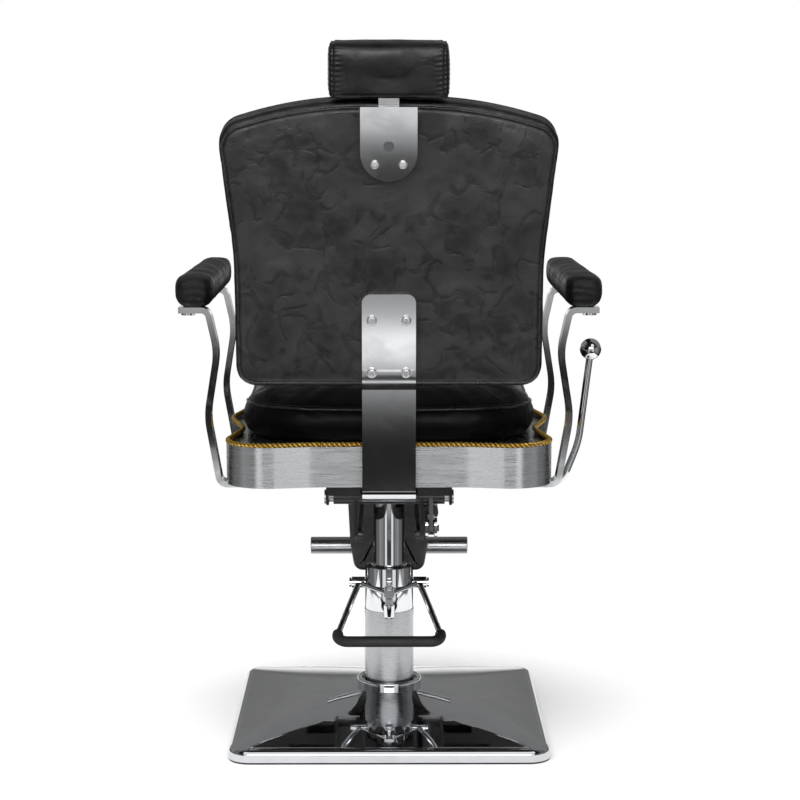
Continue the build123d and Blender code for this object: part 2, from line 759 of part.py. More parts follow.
def make_back():
    """Strap, crank, board, upholstery and the bolts that hold the back."""
    with BuildPart() as back_strap:
        with BuildLine():
            FilletPolyline(
                (0, back_pivot_y - 4, strap_z),
                (0, strap_foot_y, strap_z),
                (0, strap_bend_y, strap_bend_z),
                (0, strap_bend_y + (strap_top - strap_bend_z) * math.tan(lean), strap_top),
                radius=[strap_foot_turn, strap_lean_turn],
            )
        with BuildSketch(Plane(origin=(0, back_pivot_y - 4, strap_z), x_dir=(1, 0, 0),
                               z_dir=(0, 1, 0))):
            Rectangle(strap_width, strap_thickness)
        sweep()
        top_edges = back_strap.edges().filter_by(Axis.Y, tolerance=6).group_by(Axis.Z)[-1]
        fillet(top_edges, strap_top_corner)
        add(on_back(bolt_points, bolt_radius + 0.3, -2, 12), mode=Mode.SUBTRACT)
    write(back_strap.part, "back_strap")

    crank_x = link_x + link_thickness / 2 + 0.6
    crank_low = pivot_z - crank_drop
    crank = [
        (back_pivot_y - 12, pivot_z), (back_pivot_y - 9, crank_low),
        (back_pivot_y - 5, crank_low - 8), (back_pivot_y + 5, crank_low - 8),
        (back_pivot_y + 9, crank_low), (back_pivot_y + 12, pivot_z),
    ]
    strut_arm = [
        (back_pivot_y - 12, pivot_z), (strut_pin_y - 9, strut_z - 4),
        (strut_pin_y - 4, strut_z - 9), (strut_pin_y + 5, strut_z - 9),
        (strut_pin_y + 10, strut_z - 3), (back_pivot_y + 13, pivot_z),
    ]
    with BuildPart() as back_crank:
        add(cross_rod(hinge_tube_radius, -86, 86, back_pivot_y, pivot_z))
        for side in (-1, 1):
            add(side_plate(crank, side * crank_x, side * (crank_x + 5)))
            add(cross_rod(link_pin_radius, side * (crank_x + 1),
                          side * (link_x - link_thickness / 2 - 2), back_pivot_y, crank_low))
        add(side_plate(strut_arm, strut_x - 3, strut_x + 3))
        add(cross_rod(link_pin_radius, strut_x - 12, strut_x + 8.5, strut_pin_y, strut_z))
        add(cross_rod(hinge_pin_radius + fit, -90, 90, back_pivot_y, pivot_z),
            mode=Mode.SUBTRACT)
        with BuildSketch(Plane.XY.offset(strap_z - strap_thickness / 2 - 0.01)):
            with Locations((0, back_pivot_y)):
                Rectangle(strap_width + 0.4, 60)
        extrude(amount=20, mode=Mode.SUBTRACT)
    write(back_crank.part, "back_crank")

    with BuildPart() as strap_bolts:
        add(on_back(bolt_points, 8, strap_thickness + 0.75, strap_thickness + 2))
        add(on_back(bolt_points, 6.7, strap_thickness + 2, strap_thickness + 6))
        add(on_back(bolt_points, bolt_radius, back_board_front + 3, strap_thickness + 2))
        outer_edges = strap_bolts.edges().filter_by(GeomType.CIRCLE).filter_by(
            lambda edge: abs(edge.radius - 6.7) < 0.01
            and back_plane.to_local_coords(edge.center()).Z > strap_thickness + 5)
        fillet(outer_edges, 2.6)
    write(strap_bolts.part, "strap_bolts")

    holes = on_back(bolt_points, bolt_radius + 0.05, back_board_front + 2.9, 2)
    screw_holes = on_back(screw_points, 2.05, back_board_front + 2.9, 2)
    with BuildPart() as back_board:
        add(back_slab(9, back_board_front, back_board_back))
        add(holes, mode=Mode.SUBTRACT)
        add(screw_holes, mode=Mode.SUBTRACT)
    write(back_board.part, "back_board")

    with BuildPart() as back_rear_cover:
        add(back_slab(5, back_board_back, 0))
        add(holes, mode=Mode.SUBTRACT)
        add(screw_holes, mode=Mode.SUBTRACT)
    write(back_rear_cover.part, "back_rear_cover")

    write(back_pillow(cover_sheet + 0.1, back_board_front), "back_foam")
    with BuildPart() as back_cover:
        add(back_pillow(0, back_board_back))
        add(back_pillow(cover_sheet, back_board_back + 1), mode=Mode.SUBTRACT)
    write(back_cover.part, "back_cover")


# ================================================================ headrest
def make_headrest():
    """Guide, chrome plaque, release button, sliding stem and the tilting pillow."""
    slot = 0.25
    with BuildPart() as headrest_guide:
        with BuildSketch(back_plane.offset(0.05)):
            with Locations((0, (guide_low + guide_high) / 2)):
                Rectangle(2 * guide_half, guide_high - guide_low)
        extrude(amount=guide_depth)
        with BuildSketch(back_plane.offset(stem_mid - stem_thickness / 2 - slot)):
            with Locations((0, guide_low + 120)):
                Rectangle(2 * (stem_half_width + slot), 250)
        extrude(amount=stem_thickness + 2 * slot, mode=Mode.SUBTRACT)
        add(on_back([(0, button_y)], button_radius + 1.5, stem_mid, 20), mode=Mode.SUBTRACT)
        add(on_back(screw_points, 2.1, -3, 20), mode=Mode.SUBTRACT)
    write(headrest_guide.part, "headrest_guide")

    def plaque_form(half, low, high, rear):
        with BuildPart() as form:
            with BuildSketch(back_plane.offset(0.2)):
                with Locations((0, (low + half + high) / 2)):
                    Rectangle(2 * half, high - low - half)
                with Locations((0, low + half)):
                    Circle(half)
            extrude(amount=rear - 0.2)
        return form.part

    with BuildPart() as guide_plaque:
        add(plaque_form(plaque_half, plaque_low, plaque_high, plaque_depth))
        add(plaque_form(plaque_half - plaque_sheet, plaque_low + plaque_sheet, plaque_high + 1,
                        plaque_depth - plaque_sheet), mode=Mode.SUBTRACT)
        add(on_back([(0, button_y)], button_radius + 0.3, 2, 20), mode=Mode.SUBTRACT)
        add(on_back(screw_points, 2.1, 2, 20), mode=Mode.SUBTRACT)
    write(guide_plaque.part, "guide_plaque")

    with BuildPart() as plaque_screws:
        add(on_back(screw_points, 6.4, plaque_depth + 0.05, plaque_depth + 3.4))
        dome = plaque_screws.edges().filter_by(GeomType.CIRCLE).filter_by(
            lambda edge: back_plane.to_local_coords(edge.center()).Z > plaque_depth + 2)
        fillet(dome, 2.4)
        add(on_back(screw_points, 2.0, back_board_front + 3, plaque_depth + 1))
    write(plaque_screws.part, "plaque_screws")

    with BuildPart() as release_button:
        add(on_back([(0, button_y)], button_radius, plaque_depth - 3.5, plaque_depth + 3.6))
        add(on_back([(0, button_y)], button_radius + 1.1, plaque_depth - 3.9,
                    plaque_depth - plaque_sheet - 0.1))
    write(release_button.part, "release_button")

    stem_low = guide_low - 4
    with BuildPart() as headrest_stem:
        with BuildSketch(back_plane.offset(stem_mid - stem_thickness / 2)):
            with Locations((0, (stem_low + headrest_pivot) / 2)):
                Rectangle(2 * stem_half_width, headrest_pivot - stem_low)
        extrude(amount=stem_thickness)
        pivot = back_plane.from_local_coords(Vector(0, headrest_pivot, stem_mid))
        add(cross_rod(7, -stem_half_width, stem_half_width, pivot.Y, pivot.Z))
        add(cross_rod(3.05, -20, 20, pivot.Y, pivot.Z), mode=Mode.SUBTRACT)
    write(headrest_stem.part, "headrest_stem")

    def pillow_form(shrink):
        half = headrest_half - shrink
        low = headrest_low + shrink
        high = headrest_high - shrink
        with BuildPart() as form:
            with BuildSketch(back_plane.offset(headrest_front + shrink)):
                with Locations((0, (low + high) / 2)):
                    RectangleRounded(2 * half, high - low, 12)
            extrude(amount=headrest_back - headrest_front - 2 * shrink)
            front_face = form.faces().sort_by(Axis.Y)[0]
            fillet(front_face.edges(), 10)
        return form.part

    recess_half = stem_half_width + 3.5
    with BuildPart() as recess:
        with BuildSketch(back_plane.offset(stem_mid - 9)):
            with Locations((0, headrest_low)):
                Rectangle(2 * recess_half, 46)
        extrude(amount=40)
    with BuildPart() as headrest_foam:
        add(pillow_form(cover_sheet + 0.1))
        add(recess.part, mode=Mode.SUBTRACT)
        add(cross_rod(3.2, -recess_half - 12, recess_half + 12, pivot.Y, pivot.Z),
            mode=Mode.SUBTRACT)
    write(headrest_foam.part, "headrest_foam")
    with BuildPart() as headrest_cover:
        add(pillow_form(0))
        add(pillow_form(cover_sheet), mode=Mode.SUBTRACT)
        add(recess.part, mode=Mode.SUBTRACT)
    write(headrest_cover.part, "headrest_cover")
    write(cross_rod(3, -recess_half - 11, recess_half + 11, pivot.Y, pivot.Z), "headrest_pin")


# ================================================================ leg rest
def leg_outline():
    """Leg rest outline in X and Z: slightly tapered, with a narrower rounded foot."""
    half = [
        (leg_board_top_half, leg_board_top), (leg_board_low_half + 8, 240),
        (leg_board_low_half, leg_board_bottom),
    ]
    with BuildSketch() as outline:
        with BuildLine():
            FilletPolyline(*mirrored(half), radius=[12, 60, 16, 16, 60, 12], close=True)
        make_face()
    return outline.sketch


def make_leg_rest():
    """Bracket on the front hinge, stitched board, calf pad and round footrest bar."""
    crank_x = link_x + link_thickness / 2 + 0.6
    crank_low = pivot_z - crank_drop
    arm = [
        (leg_pivot_y + 12, pivot_z), (leg_pivot_y + 8, crank_low - 2),
        (leg_pivot_y + 4, crank_low - 8), (leg_pivot_y - 5, crank_low - 8),
        (leg_board_back, crank_low - 20), (leg_board_back, pivot_z - 12),
        (leg_pivot_y - 10, pivot_z + 6),
    ]
    with BuildPart() as leg_bracket:
        add(cross_rod(12, -60, 60, leg_pivot_y, pivot_z))
        for side in (-1, 1):
            add(side_plate(arm, side * crank_x, side * (crank_x + 5)))
            add(cross_rod(link_pin_radius - 0.4, side * (crank_x + 1),
                          side * (link_x - link_thickness / 2 - 2), leg_pivot_y, crank_low))
        add(cross_rod(hinge_pin_radius + fit, -62, 62, leg_pivot_y, pivot_z), mode=Mode.SUBTRACT)
    write(leg_bracket.part, "leg_bracket")

    with BuildPart() as leg_board:
        with BuildSketch(Plane(origin=(0, leg_board_back, 0), x_dir=(1, 0, 0),
                               z_dir=(0, -1, 0))):
            add(leg_outline())
        extrude(amount=leg_board_back - leg_board_front)
    write(leg_board.part, "leg_board")

    with BuildPart() as leg_pad:
        with BuildSketch(Plane(origin=(0, leg_board_front - 0.1, 0), x_dir=(1, 0, 0),
                               z_dir=(0, -1, 0))):
            with Locations((0, (leg_pad_top + leg_pad_bottom) / 2)):
                RectangleRounded(2 * leg_board_low_half + 16, leg_pad_top - leg_pad_bottom, 18)
        extrude(amount=leg_board_front - leg_pad_front)
        fillet(leg_pad.faces().sort_by(Axis.Y)[0].edges(), 14)
    write(leg_pad.part, "leg_pad")

    with BuildPart() as footrest_bar:
        add(cross_rod(footrest_radius, -footrest_half, footrest_half, footrest_y, footrest_z))
        chamfer(footrest_bar.edges().filter_by(GeomType.CIRCLE), 1)
        with BuildSketch(Plane(origin=(0, leg_board_front - 0.05, footrest_z), x_dir=(1, 0, 0),
                               z_dir=(0, -1, 0))):
            RectangleRounded(44, 26, 5)
        extrude(amount=leg_board_front - footrest_y - 2)
    write(footrest_bar.part, "footrest_bar")


def make_links():
    """Two equal links that carry the recline of the back to the leg rest."""
    level = pivot_z - crank_drop
    with BuildPart() as link_rods:
        for side in (-1, 1):
            middle = (back_pivot_y + leg_pivot_y) / 2
            with BuildSketch(Plane(origin=(side * (link_x - link_thickness / 2), 0, 0),
                                   x_dir=(0, 1, 0), z_dir=(1, 0, 0))):
                with Locations((middle, level)):
                    SlotOverall(back_pivot_y - leg_pivot_y + 20, 20)
                with Locations((back_pivot_y, level)):
                    Circle(link_pin_radius + fit, mode=Mode.SUBTRACT)
                with Locations((leg_pivot_y, level)):
                    Circle(link_pin_radius, mode=Mode.SUBTRACT)
            extrude(amount=side * link_thickness)
    write(link_rods.part, "link_rods")


make_base()
make_pump()
make_pedal()
make_seat()
make_mechanism()
make_strut_rod()
make_lever()
make_arms()
make_back()
make_headrest()
make_leg_rest()
make_links()
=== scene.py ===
"""Looks of the barber chair: leather, chrome, rope trim and upholstery around the fixed frame."""

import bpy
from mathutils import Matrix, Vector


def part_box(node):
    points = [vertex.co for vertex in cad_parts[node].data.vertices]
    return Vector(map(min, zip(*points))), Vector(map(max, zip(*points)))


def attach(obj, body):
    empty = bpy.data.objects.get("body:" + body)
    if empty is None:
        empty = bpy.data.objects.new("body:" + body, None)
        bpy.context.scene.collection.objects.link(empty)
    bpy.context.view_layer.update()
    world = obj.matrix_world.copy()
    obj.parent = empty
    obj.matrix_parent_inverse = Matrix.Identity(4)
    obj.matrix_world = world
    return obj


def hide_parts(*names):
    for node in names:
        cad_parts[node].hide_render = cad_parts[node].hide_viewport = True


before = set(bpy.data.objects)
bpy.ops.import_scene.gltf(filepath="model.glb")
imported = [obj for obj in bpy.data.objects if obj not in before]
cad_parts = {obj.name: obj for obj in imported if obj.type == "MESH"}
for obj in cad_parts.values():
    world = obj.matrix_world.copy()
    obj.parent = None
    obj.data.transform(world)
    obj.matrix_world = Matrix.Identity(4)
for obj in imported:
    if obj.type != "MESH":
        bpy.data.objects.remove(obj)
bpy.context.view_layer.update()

import logging
import math
from dataclasses import dataclass
from enum import Enum
from typing import Callable, Iterable, Sequence

import bmesh
import bpy
import numpy as np
from mathutils import Vector, noise
from mathutils.bvhtree import BVHTree

log = logging.getLogger("barber_chair")
Point = tuple[float, float, float]
Flat = tuple[float, float]
Colour = tuple[float, float, float]


class Stretch(Enum):
    """Direction in which a brushed or turned finish runs."""

    NONE = (1.0, 1.0, 1.0)
    AROUND_COLUMN = (0.12, 0.12, 9.0)
    ALONG_X = (0.06, 6.0, 6.0)
    ALONG_WALL = (0.1, 0.1, 7.0)
    ALONG_Z = (7.0, 7.0, 0.08)


# ------------------------------------------------------------------ materials
def add_node(tree: bpy.types.NodeTree, kind: str, inputs: dict) -> bpy.types.Node:
    """Add a shader node and fill its inputs.

    Args:
        tree: node tree that gets the node.
        kind: the node's type, without its ShaderNode prefix.
        inputs: a value or a socket for each input, by name or number.

    Returns:
        The new node.
    """
    node = tree.nodes.new("ShaderNode" + kind)
    for key, value in inputs.items():
        if isinstance(value, bpy.types.NodeSocket):
            tree.links.new(value, node.inputs[key])
        else:
            node.inputs[key].default_value = value
    return node


def soft_range(tree: bpy.types.NodeTree, value: bpy.types.NodeSocket, span: Flat, result: Flat
               ) -> bpy.types.NodeSocket:
    """Smoothly map a value from one range to another, clamped.

    Args:
        tree: node tree that gets the node.
        value: what is mapped.
        span: start and end of the value's range.
        result: what the start and the end become.

    Returns:
        The mapped socket.
    """
    node = add_node(tree, "MapRange", {"From Min": span[0], "From Max": span[1],
                                       "To Min": result[0], "To Max": result[1],
                                       "Value": value})
    node.interpolation_type = "SMOOTHSTEP"
    return node.outputs["Result"]


class Shader:
    """A Principled material that is built up from procedural nodes."""

    def __init__(self, name: str, colour: Colour, metallic: float, roughness: float) -> None:
        """Start a plain material.

        Args:
            name: material name.
            colour: base colour, linear.
            metallic: 0 for dielectrics, 1 for metals.
            roughness: base roughness.
        """
        self.material = bpy.data.materials.new(name)
        self.material.use_nodes = True
        self.material.diffuse_color = (*colour, 1.0)
        self.tree = self.material.node_tree
        self.skin = self.tree.nodes["Principled BSDF"]
        self.set(Base_Color=(*colour, 1.0), Metallic=metallic, Roughness=roughness)
        self.place = add_node(self.tree, "TexCoord", {}).outputs["Object"]
        self.normal = None

    def set(self, **values: float | tuple[float, ...]) -> None:
        """Set uniform sockets of the Principled node, with underscores for spaces."""
        for key, value in values.items():
            self.skin.inputs[key.replace("_", " ")].default_value = value

    def stretched(self, stretch: Stretch) -> bpy.types.NodeSocket:
        """Object coordinates, scaled so that noise runs into streaks."""
        if stretch is Stretch.NONE:
            return self.place
        return add_node(self.tree, "Mapping", {"Scale": stretch.value, "Vector": self.place}
                        ).outputs["Vector"]

    def cloud(self, scale: float, detail: float = 4.0, distortion: float = 0.0,
              stretch: Stretch = Stretch.NONE) -> bpy.types.NodeSocket:
        """Noise value.

        Args:
            scale: features per metre.
            detail: octaves.
            distortion: how much the noise is warped.
            stretch: direction of the streaks.

        Returns:
            The noise factor socket.
        """
        return add_node(self.tree, "TexNoise", {
            "Scale": scale, "Detail": detail, "Distortion": distortion,
            "Vector": self.stretched(stretch)}).outputs["Fac"]

    def pebbles(self, scale: float) -> bpy.types.NodeSocket:
        """Rounded cells, like the pores of leather, at so many per metre."""
        return add_node(self.tree, "TexVoronoi", {"Scale": scale, "Vector": self.place}
                        ).outputs["Distance"]

    def creases(self, scale: float) -> bpy.types.NodeSocket:
        """Branching wrinkles: 0 in the fold lines and 1 between them.

        Args:
            scale: wrinkles per metre.

        Returns:
            The wrinkle socket.
        """
        node = self.tree.nodes.new("ShaderNodeTexNoise")
        node.noise_type = "RIDGED_MULTIFRACTAL"
        for key, value in (("Scale", scale), ("Detail", 5.0), ("Roughness", 0.62),
                           ("Offset", 1.0), ("Distortion", 0.5)):
            node.inputs[key].default_value = value
        self.tree.links.new(self.place, node.inputs["Vector"])
        return self.remap(node.outputs["Fac"], 1.15, 1.75, 1.0, 0.0)

    def both(self, first: bpy.types.NodeSocket, second: bpy.types.NodeSocket
             ) -> bpy.types.NodeSocket:
        """Product of two values."""
        node = add_node(self.tree, "Math", {0: first, 1: second})
        node.operation = "MULTIPLY"
        return node.outputs[0]

    def remap(self, value: bpy.types.NodeSocket, low: float, high: float, to_low: float = 0.0,
              to_high: float = 1.0) -> bpy.types.NodeSocket:
        """Smoothly map a value from one range to another, clamped."""
        return soft_range(self.tree, value, (low, high), (to_low, to_high))

    def tint(self, value: bpy.types.NodeSocket, first: Colour, second: Colour) -> None:
        """Blend the base colour between two colours by a value from 0 to 1.

        Args:
            value: the blend.
            first: colour at 0.
            second: colour at 1.
        """
        node = self.tree.nodes.new("ShaderNodeMix")
        node.data_type = "RGBA"
        node.inputs[6].default_value = (*first, 1.0)
        node.inputs[7].default_value = (*second, 1.0)
        self.tree.links.new(value, node.inputs[0])
        self.tree.links.new(node.outputs[2], self.skin.inputs["Base Color"])

    def gloss(self, value: bpy.types.NodeSocket, smooth: float, rough: float) -> None:
        """Let the roughness run from smooth to rough as the value goes from 0 to 1.

        Args:
            value: what steers the roughness.
            smooth: roughness at 0.
            rough: roughness at 1.
        """
        self.tree.links.new(self.remap(value, 0.0, 1.0, smooth, rough),
                            self.skin.inputs["Roughness"])

    def relief(self, value: bpy.types.NodeSocket, depth: float, strength: float = 1.0) -> None:
        """Add one layer of bump.

        Args:
            value: the height.
            depth: height difference in metres.
            strength: weight of the layer.
        """
        node = add_node(self.tree, "Bump", {"Strength": strength, "Distance": depth,
                                            "Height": value})
        if self.normal is not None:
            self.tree.links.new(self.normal, node.inputs["Normal"])
        self.normal = node.outputs["Normal"]
        self.tree.links.new(self.normal, self.skin.inputs["Normal"])


@dataclass(frozen=True)
class Leather:
    """Smooth black upholstery leather with fine pores and creases; its colour has paler patches,
    partly rubbed wear and partly painted sheen, and painted shade along the crease lines.
    """

    name: str
    dark: Colour = (0.003, 0.003, 0.0033)
    # Paler patch colour: partly rubbed wear, partly painted sheen.
    paler: Colour = (0.008, 0.008, 0.0083)
    smooth: float = 0.3
    rough: float = 0.5
    sheen: float = 0.45
    crease_depth: float = 0.0006
    crease_scale: float = 15.0
    patch_scale: float = 10.0

    def make(self) -> bpy.types.Material:
        """Build the material."""
        shader = Shader(self.name, self.dark, 0.0, self.smooth)
        shader.set(Specular_IOR_Level=self.sheen)
        # Patches of the paler colour: partly rubbed wear, partly painted sheen.
        patches = shader.remap(shader.cloud(self.patch_scale, 12.0, 0.3), 0.2, 0.66)
        folds = shader.creases(self.crease_scale)
        # Painted shade: the colour goes darker along the crease lines, where the creases scale the
        # patch blend down to 0.35.
        shader.tint(shader.both(patches, shader.remap(folds, 0.0, 1.0, 0.35, 1.0)), self.dark,
                    self.paler)
        shader.gloss(shader.remap(shader.cloud(30.0, 6.0, 0.6), 0.34, 0.66),
                     self.smooth, self.rough)
        shader.relief(folds, self.crease_depth, 0.4)
        shader.relief(shader.cloud(38.0, 6.0, 1.2), self.crease_depth, 0.45)
        shader.relief(shader.pebbles(850.0), 0.00012, 0.5)
        return shader.material


@dataclass(frozen=True)
class Chrome:
    """Bright plating with faint haze, wiping marks and a little ripple."""

    name: str
    colour: Colour = (0.72, 0.73, 0.745)
    smooth: float = 0.035
    rough: float = 0.09
    ripple: float = 0.00003

    def make(self) -> bpy.types.Material:
        """Build the material."""
        shader = Shader(self.name, self.colour, 1.0, self.smooth)
        haze = shader.remap(shader.cloud(18.0, 6.0, 0.8), 0.38, 0.7)
        shader.gloss(haze, self.smooth, self.rough)
        dull = tuple(0.93 * channel for channel in self.colour)
        shader.tint(haze, self.colour, dull)
        shader.relief(shader.cloud(40.0, 2.0), self.ripple, 0.35)
        return shader.material


@dataclass(frozen=True)
class BrushedMetal:
    """Metal with streaks from brushing or turning."""

    name: str
    colour: Colour = (0.56, 0.57, 0.585)
    stretch: Stretch = Stretch.AROUND_COLUMN
    smooth: float = 0.2
    rough: float = 0.36
    streak_depth: float = 0.00006
    streak_scale: float = 260.0

    def make(self) -> bpy.types.Material:
        """Build the material."""
        shader = Shader(self.name, self.colour, 1.0, self.smooth)
        streaks = shader.cloud(self.streak_scale, 6.0, 0.0, self.stretch)
        shader.gloss(shader.remap(streaks, 0.3, 0.7), self.smooth, self.rough)
        shade = tuple(0.9 * channel for channel in self.colour)
        shader.tint(shader.remap(streaks, 0.35, 0.65), shade, self.colour)
        shader.relief(streaks, self.streak_depth, 0.5)
        return shader.material


@dataclass(frozen=True)
class Enamel:
    """Black paint or moulded plastic with a slight skin."""

    name: str
    dark: Colour = (0.008, 0.008, 0.009)
    # Paler colour of the worn patches.
    paler: Colour = (0.02, 0.02, 0.021)
    smooth: float = 0.28
    rough: float = 0.45
    skin_scale: float = 420.0
    skin_depth: float = 0.00008

    def make(self) -> bpy.types.Material:
        """Build the material."""
        shader = Shader(self.name, self.dark, 0.0, self.smooth)
        patches = shader.remap(shader.cloud(16.0, 5.0), 0.4, 0.7)
        shader.tint(patches, self.dark, self.paler)
        shader.gloss(patches, self.smooth, self.rough)
        shader.relief(shader.cloud(self.skin_scale, 3.0), self.skin_depth, 0.5)
        return shader.material


@dataclass(frozen=True)
class GoldRope:
    """Gilt cord: warm metal sheen and fine filaments, with painted shade for the valleys between
    strands laid as darker flecks of fine noise.
    """

    name: str
    bright: Colour = (0.85, 0.56, 0.12)
    painted_valley_shade: Colour = (0.18, 0.085, 0.006)

    def make(self) -> bpy.types.Material:
        """Build the material."""
        shader = Shader(self.name, self.bright, 0.85, 0.3)
        fibres = shader.cloud(900.0, 4.0, 0.5)
        # Painted shade: darker flecks of fine noise stand in for shade between the strands.
        shader.tint(shader.remap(fibres, 0.35, 0.62), self.painted_valley_shade, self.bright)
        shader.gloss(fibres, 0.2, 0.42)
        shader.relief(fibres, 0.0002, 0.6)
        return shader.material


@dataclass(frozen=True)
class Wood:
    """Plain timber or plywood with grain along X."""

    name: str
    light: Colour = (0.5, 0.33, 0.17)
    dark: Colour = (0.3, 0.17, 0.08)

    def make(self) -> bpy.types.Material:
        """Build the material."""
        shader = Shader(self.name, self.light, 0.0, 0.6)
        grain = shader.cloud(70.0, 6.0, 1.2, Stretch.ALONG_X)
        shader.tint(shader.remap(grain, 0.35, 0.65), self.dark, self.light)
        shader.gloss(grain, 0.5, 0.75)
        shader.relief(grain, 0.0003, 0.5)
        return shader.material


@dataclass(frozen=True)
class Thread:
    """Waxed sewing thread."""

    name: str
    colour: Colour = (0.03, 0.03, 0.032)

    def make(self) -> bpy.types.Material:
        """Build the material."""
        shader = Shader(self.name, self.colour, 0.0, 0.5)
        twist = shader.cloud(2600.0, 2.0)
        # Paler, worn colour along the twist.
        paler = tuple(1.8 * channel for channel in self.colour)
        shader.tint(twist, self.colour, paler)
        shader.relief(twist, 0.0001, 0.6)
        return shader.material


class Palette:
    """All finishes of the chair, each made once."""

    def __init__(self) -> None:
        """Make every material."""
        # panel_leather is a paler copy of the black leather: its lighter base colour is painted
        # sheen of the rear panel and leg board, and its paler patches are partly wear, partly
        # painted sheen.
        self.panel_leather = Leather("panel_leather", (0.01, 0.01, 0.0103),
                                     (0.034, 0.034, 0.0347), 0.28, 0.44, patch_scale=22.0,
                                     crease_depth=0.0005, crease_scale=22.0).make()
        self.soft_leather = Leather("soft_leather", crease_depth=0.0004, smooth=0.3,
                                    rough=0.44, crease_scale=11.0).make()
        self.seat_leather = Leather("seat_leather", (0.004, 0.004, 0.0042),
                                    (0.007, 0.007, 0.007), 0.34, 0.44, 0.08, 0.0002, 8.0).make()
        self.pad_leather = Leather("pad_leather", (0.004, 0.004, 0.0042), (0.012, 0.012, 0.012),
                                   0.4, 0.54, 0.22, 0.0004, 30.0).make()
        # The welt's paler patch colour is partly wear, partly painted sheen on the piping.
        self.welt_leather = Leather("welt_leather", paler=(0.03, 0.03, 0.031), smooth=0.25,
                                    rough=0.4, crease_depth=0.0002, crease_scale=60.0).make()
        self.thread = Thread("sewing_thread").make()
        self.chrome = Chrome("bright_chrome").make()
        self.strap_chrome = Chrome("strap_chrome", smooth=0.045, rough=0.062, ripple=0.00001).make()
        self.screw = BrushedMetal("screw_metal", (0.85, 0.85, 0.86), Stretch.NONE, 0.28, 0.4,
                                  0.00002, 400.0).make()
        self.button = Chrome("button_chrome", (0.34, 0.345, 0.355), 0.14, 0.24).make()
        self.base_chrome = Chrome("base_chrome", (0.66, 0.67, 0.685), 0.025, 0.08,
                                  0.00006).make()
        self.tube = BrushedMetal("turned_tube", (0.5, 0.51, 0.52), smooth=0.22, rough=0.3,
                                 streak_depth=0.00003).make()
        self.band = BrushedMetal("band_metal", (0.74, 0.75, 0.765), Stretch.ALONG_WALL, 0.24, 0.31,
                                 0.00002, 180.0).make()
        self.bar = BrushedMetal("bar_metal", (0.4, 0.405, 0.415), Stretch.ALONG_X, 0.22,
                                0.38).make()
        self.stem = BrushedMetal("stem_metal", (0.6, 0.605, 0.615), Stretch.ALONG_X, 0.25,
                                 0.42, 0.00008, 300.0).make()
        self.deck = BrushedMetal("deck_metal", (0.5, 0.505, 0.515), Stretch.NONE, 0.24, 0.34,
                                 0.00003, 90.0).make()
        self.steel = BrushedMetal("machined_steel", (0.42, 0.42, 0.43), Stretch.AROUND_COLUMN,
                                  0.26, 0.42).make()
        self.gold = GoldRope("gilt_rope").make()
        self.enamel = Enamel("black_enamel").make()
        self.rubber = Enamel("black_rubber", (0.006, 0.006, 0.006), (0.014, 0.014, 0.014), 0.5,
                             0.72, 900.0, 0.0002).make()
        self.plastic = Enamel("black_plastic", (0.012, 0.012, 0.012), (0.02, 0.02, 0.02), 0.4,
                              0.55, 1400.0, 0.00012).make()
        # Seat timber and board, coloured near-black.
        self.black_wood = Wood("near_black_timber", (0.012, 0.011, 0.011),
                               (0.006, 0.006, 0.006)).make()
        self.wood = Wood("frame_timber").make()
        self.foam = Wood("foam_core", (0.7, 0.62, 0.4), (0.55, 0.48, 0.3)).make()


# ------------------------------------------------------------------ mesh helpers
def new_piece(name: str, points: Sequence[Point], faces: Sequence[Sequence[int]],
              material: bpy.types.Material) -> bpy.types.Object:
    """Make a smooth-shaded mesh object in the row frame.

    Args:
        name: object name.
        points: vertex positions in metres.
        faces: vertex indices of each face.
        material: finish of the piece.

    Returns:
        The linked object.
    """
    mesh = bpy.data.meshes.new(name)
    mesh.from_pydata([tuple(p) for p in points], [], [tuple(f) for f in faces])
    mesh.validate()
    work = bmesh.new()
    work.from_mesh(mesh)
    bmesh.ops.recalc_face_normals(work, faces=work.faces)
    work.to_mesh(mesh)
    work.free()
    mesh.shade_smooth()
    mesh.materials.append(material)
    piece = bpy.data.objects.new(name, mesh)
    bpy.context.scene.collection.objects.link(piece)
    return piece


def ring_faces(rings: int, count: int, closed_rings: bool = False) -> list[tuple[int, ...]]:
    """Quads between successive closed rings of the same number of points.

    Args:
        rings: number of rings.
        count: points in each ring.
        closed_rings: join the last ring to the first.

    Returns:
        Vertex indices of each quad.
    """
    faces = []
    spans = rings if closed_rings else rings - 1
    for r in range(spans):
        lower = r * count
        upper = ((r + 1) % rings) * count
        for k in range(count):
            nxt = (k + 1) % count
            faces.append((lower + k, lower + nxt, upper + nxt, upper + k))
    return faces


def lofted(name: str, rings: Sequence[Sequence[Point]], material: bpy.types.Material,
           capped: bool = True) -> bpy.types.Object:
    """Skin closed rings of equal size, with a fan at each end when capped.

    Args:
        name: object name.
        rings: points of each ring, in order.
        material: finish of the piece.
        capped: close both ends.

    Returns:
        The linked object.
    """
    count = len(rings[0])
    points = [p for ring in rings for p in ring]
    faces = ring_faces(len(rings), count)
    if capped:
        for first, ring in ((0, rings[0]), ((len(rings) - 1) * count, rings[-1])):
            centre = np.mean(np.array(ring, float), axis=0)
            points.append(tuple(centre))
            hub = len(points) - 1
            for k in range(count):
                faces.append((first + k, first + (k + 1) % count, hub))
    return new_piece(name, points, faces, material)


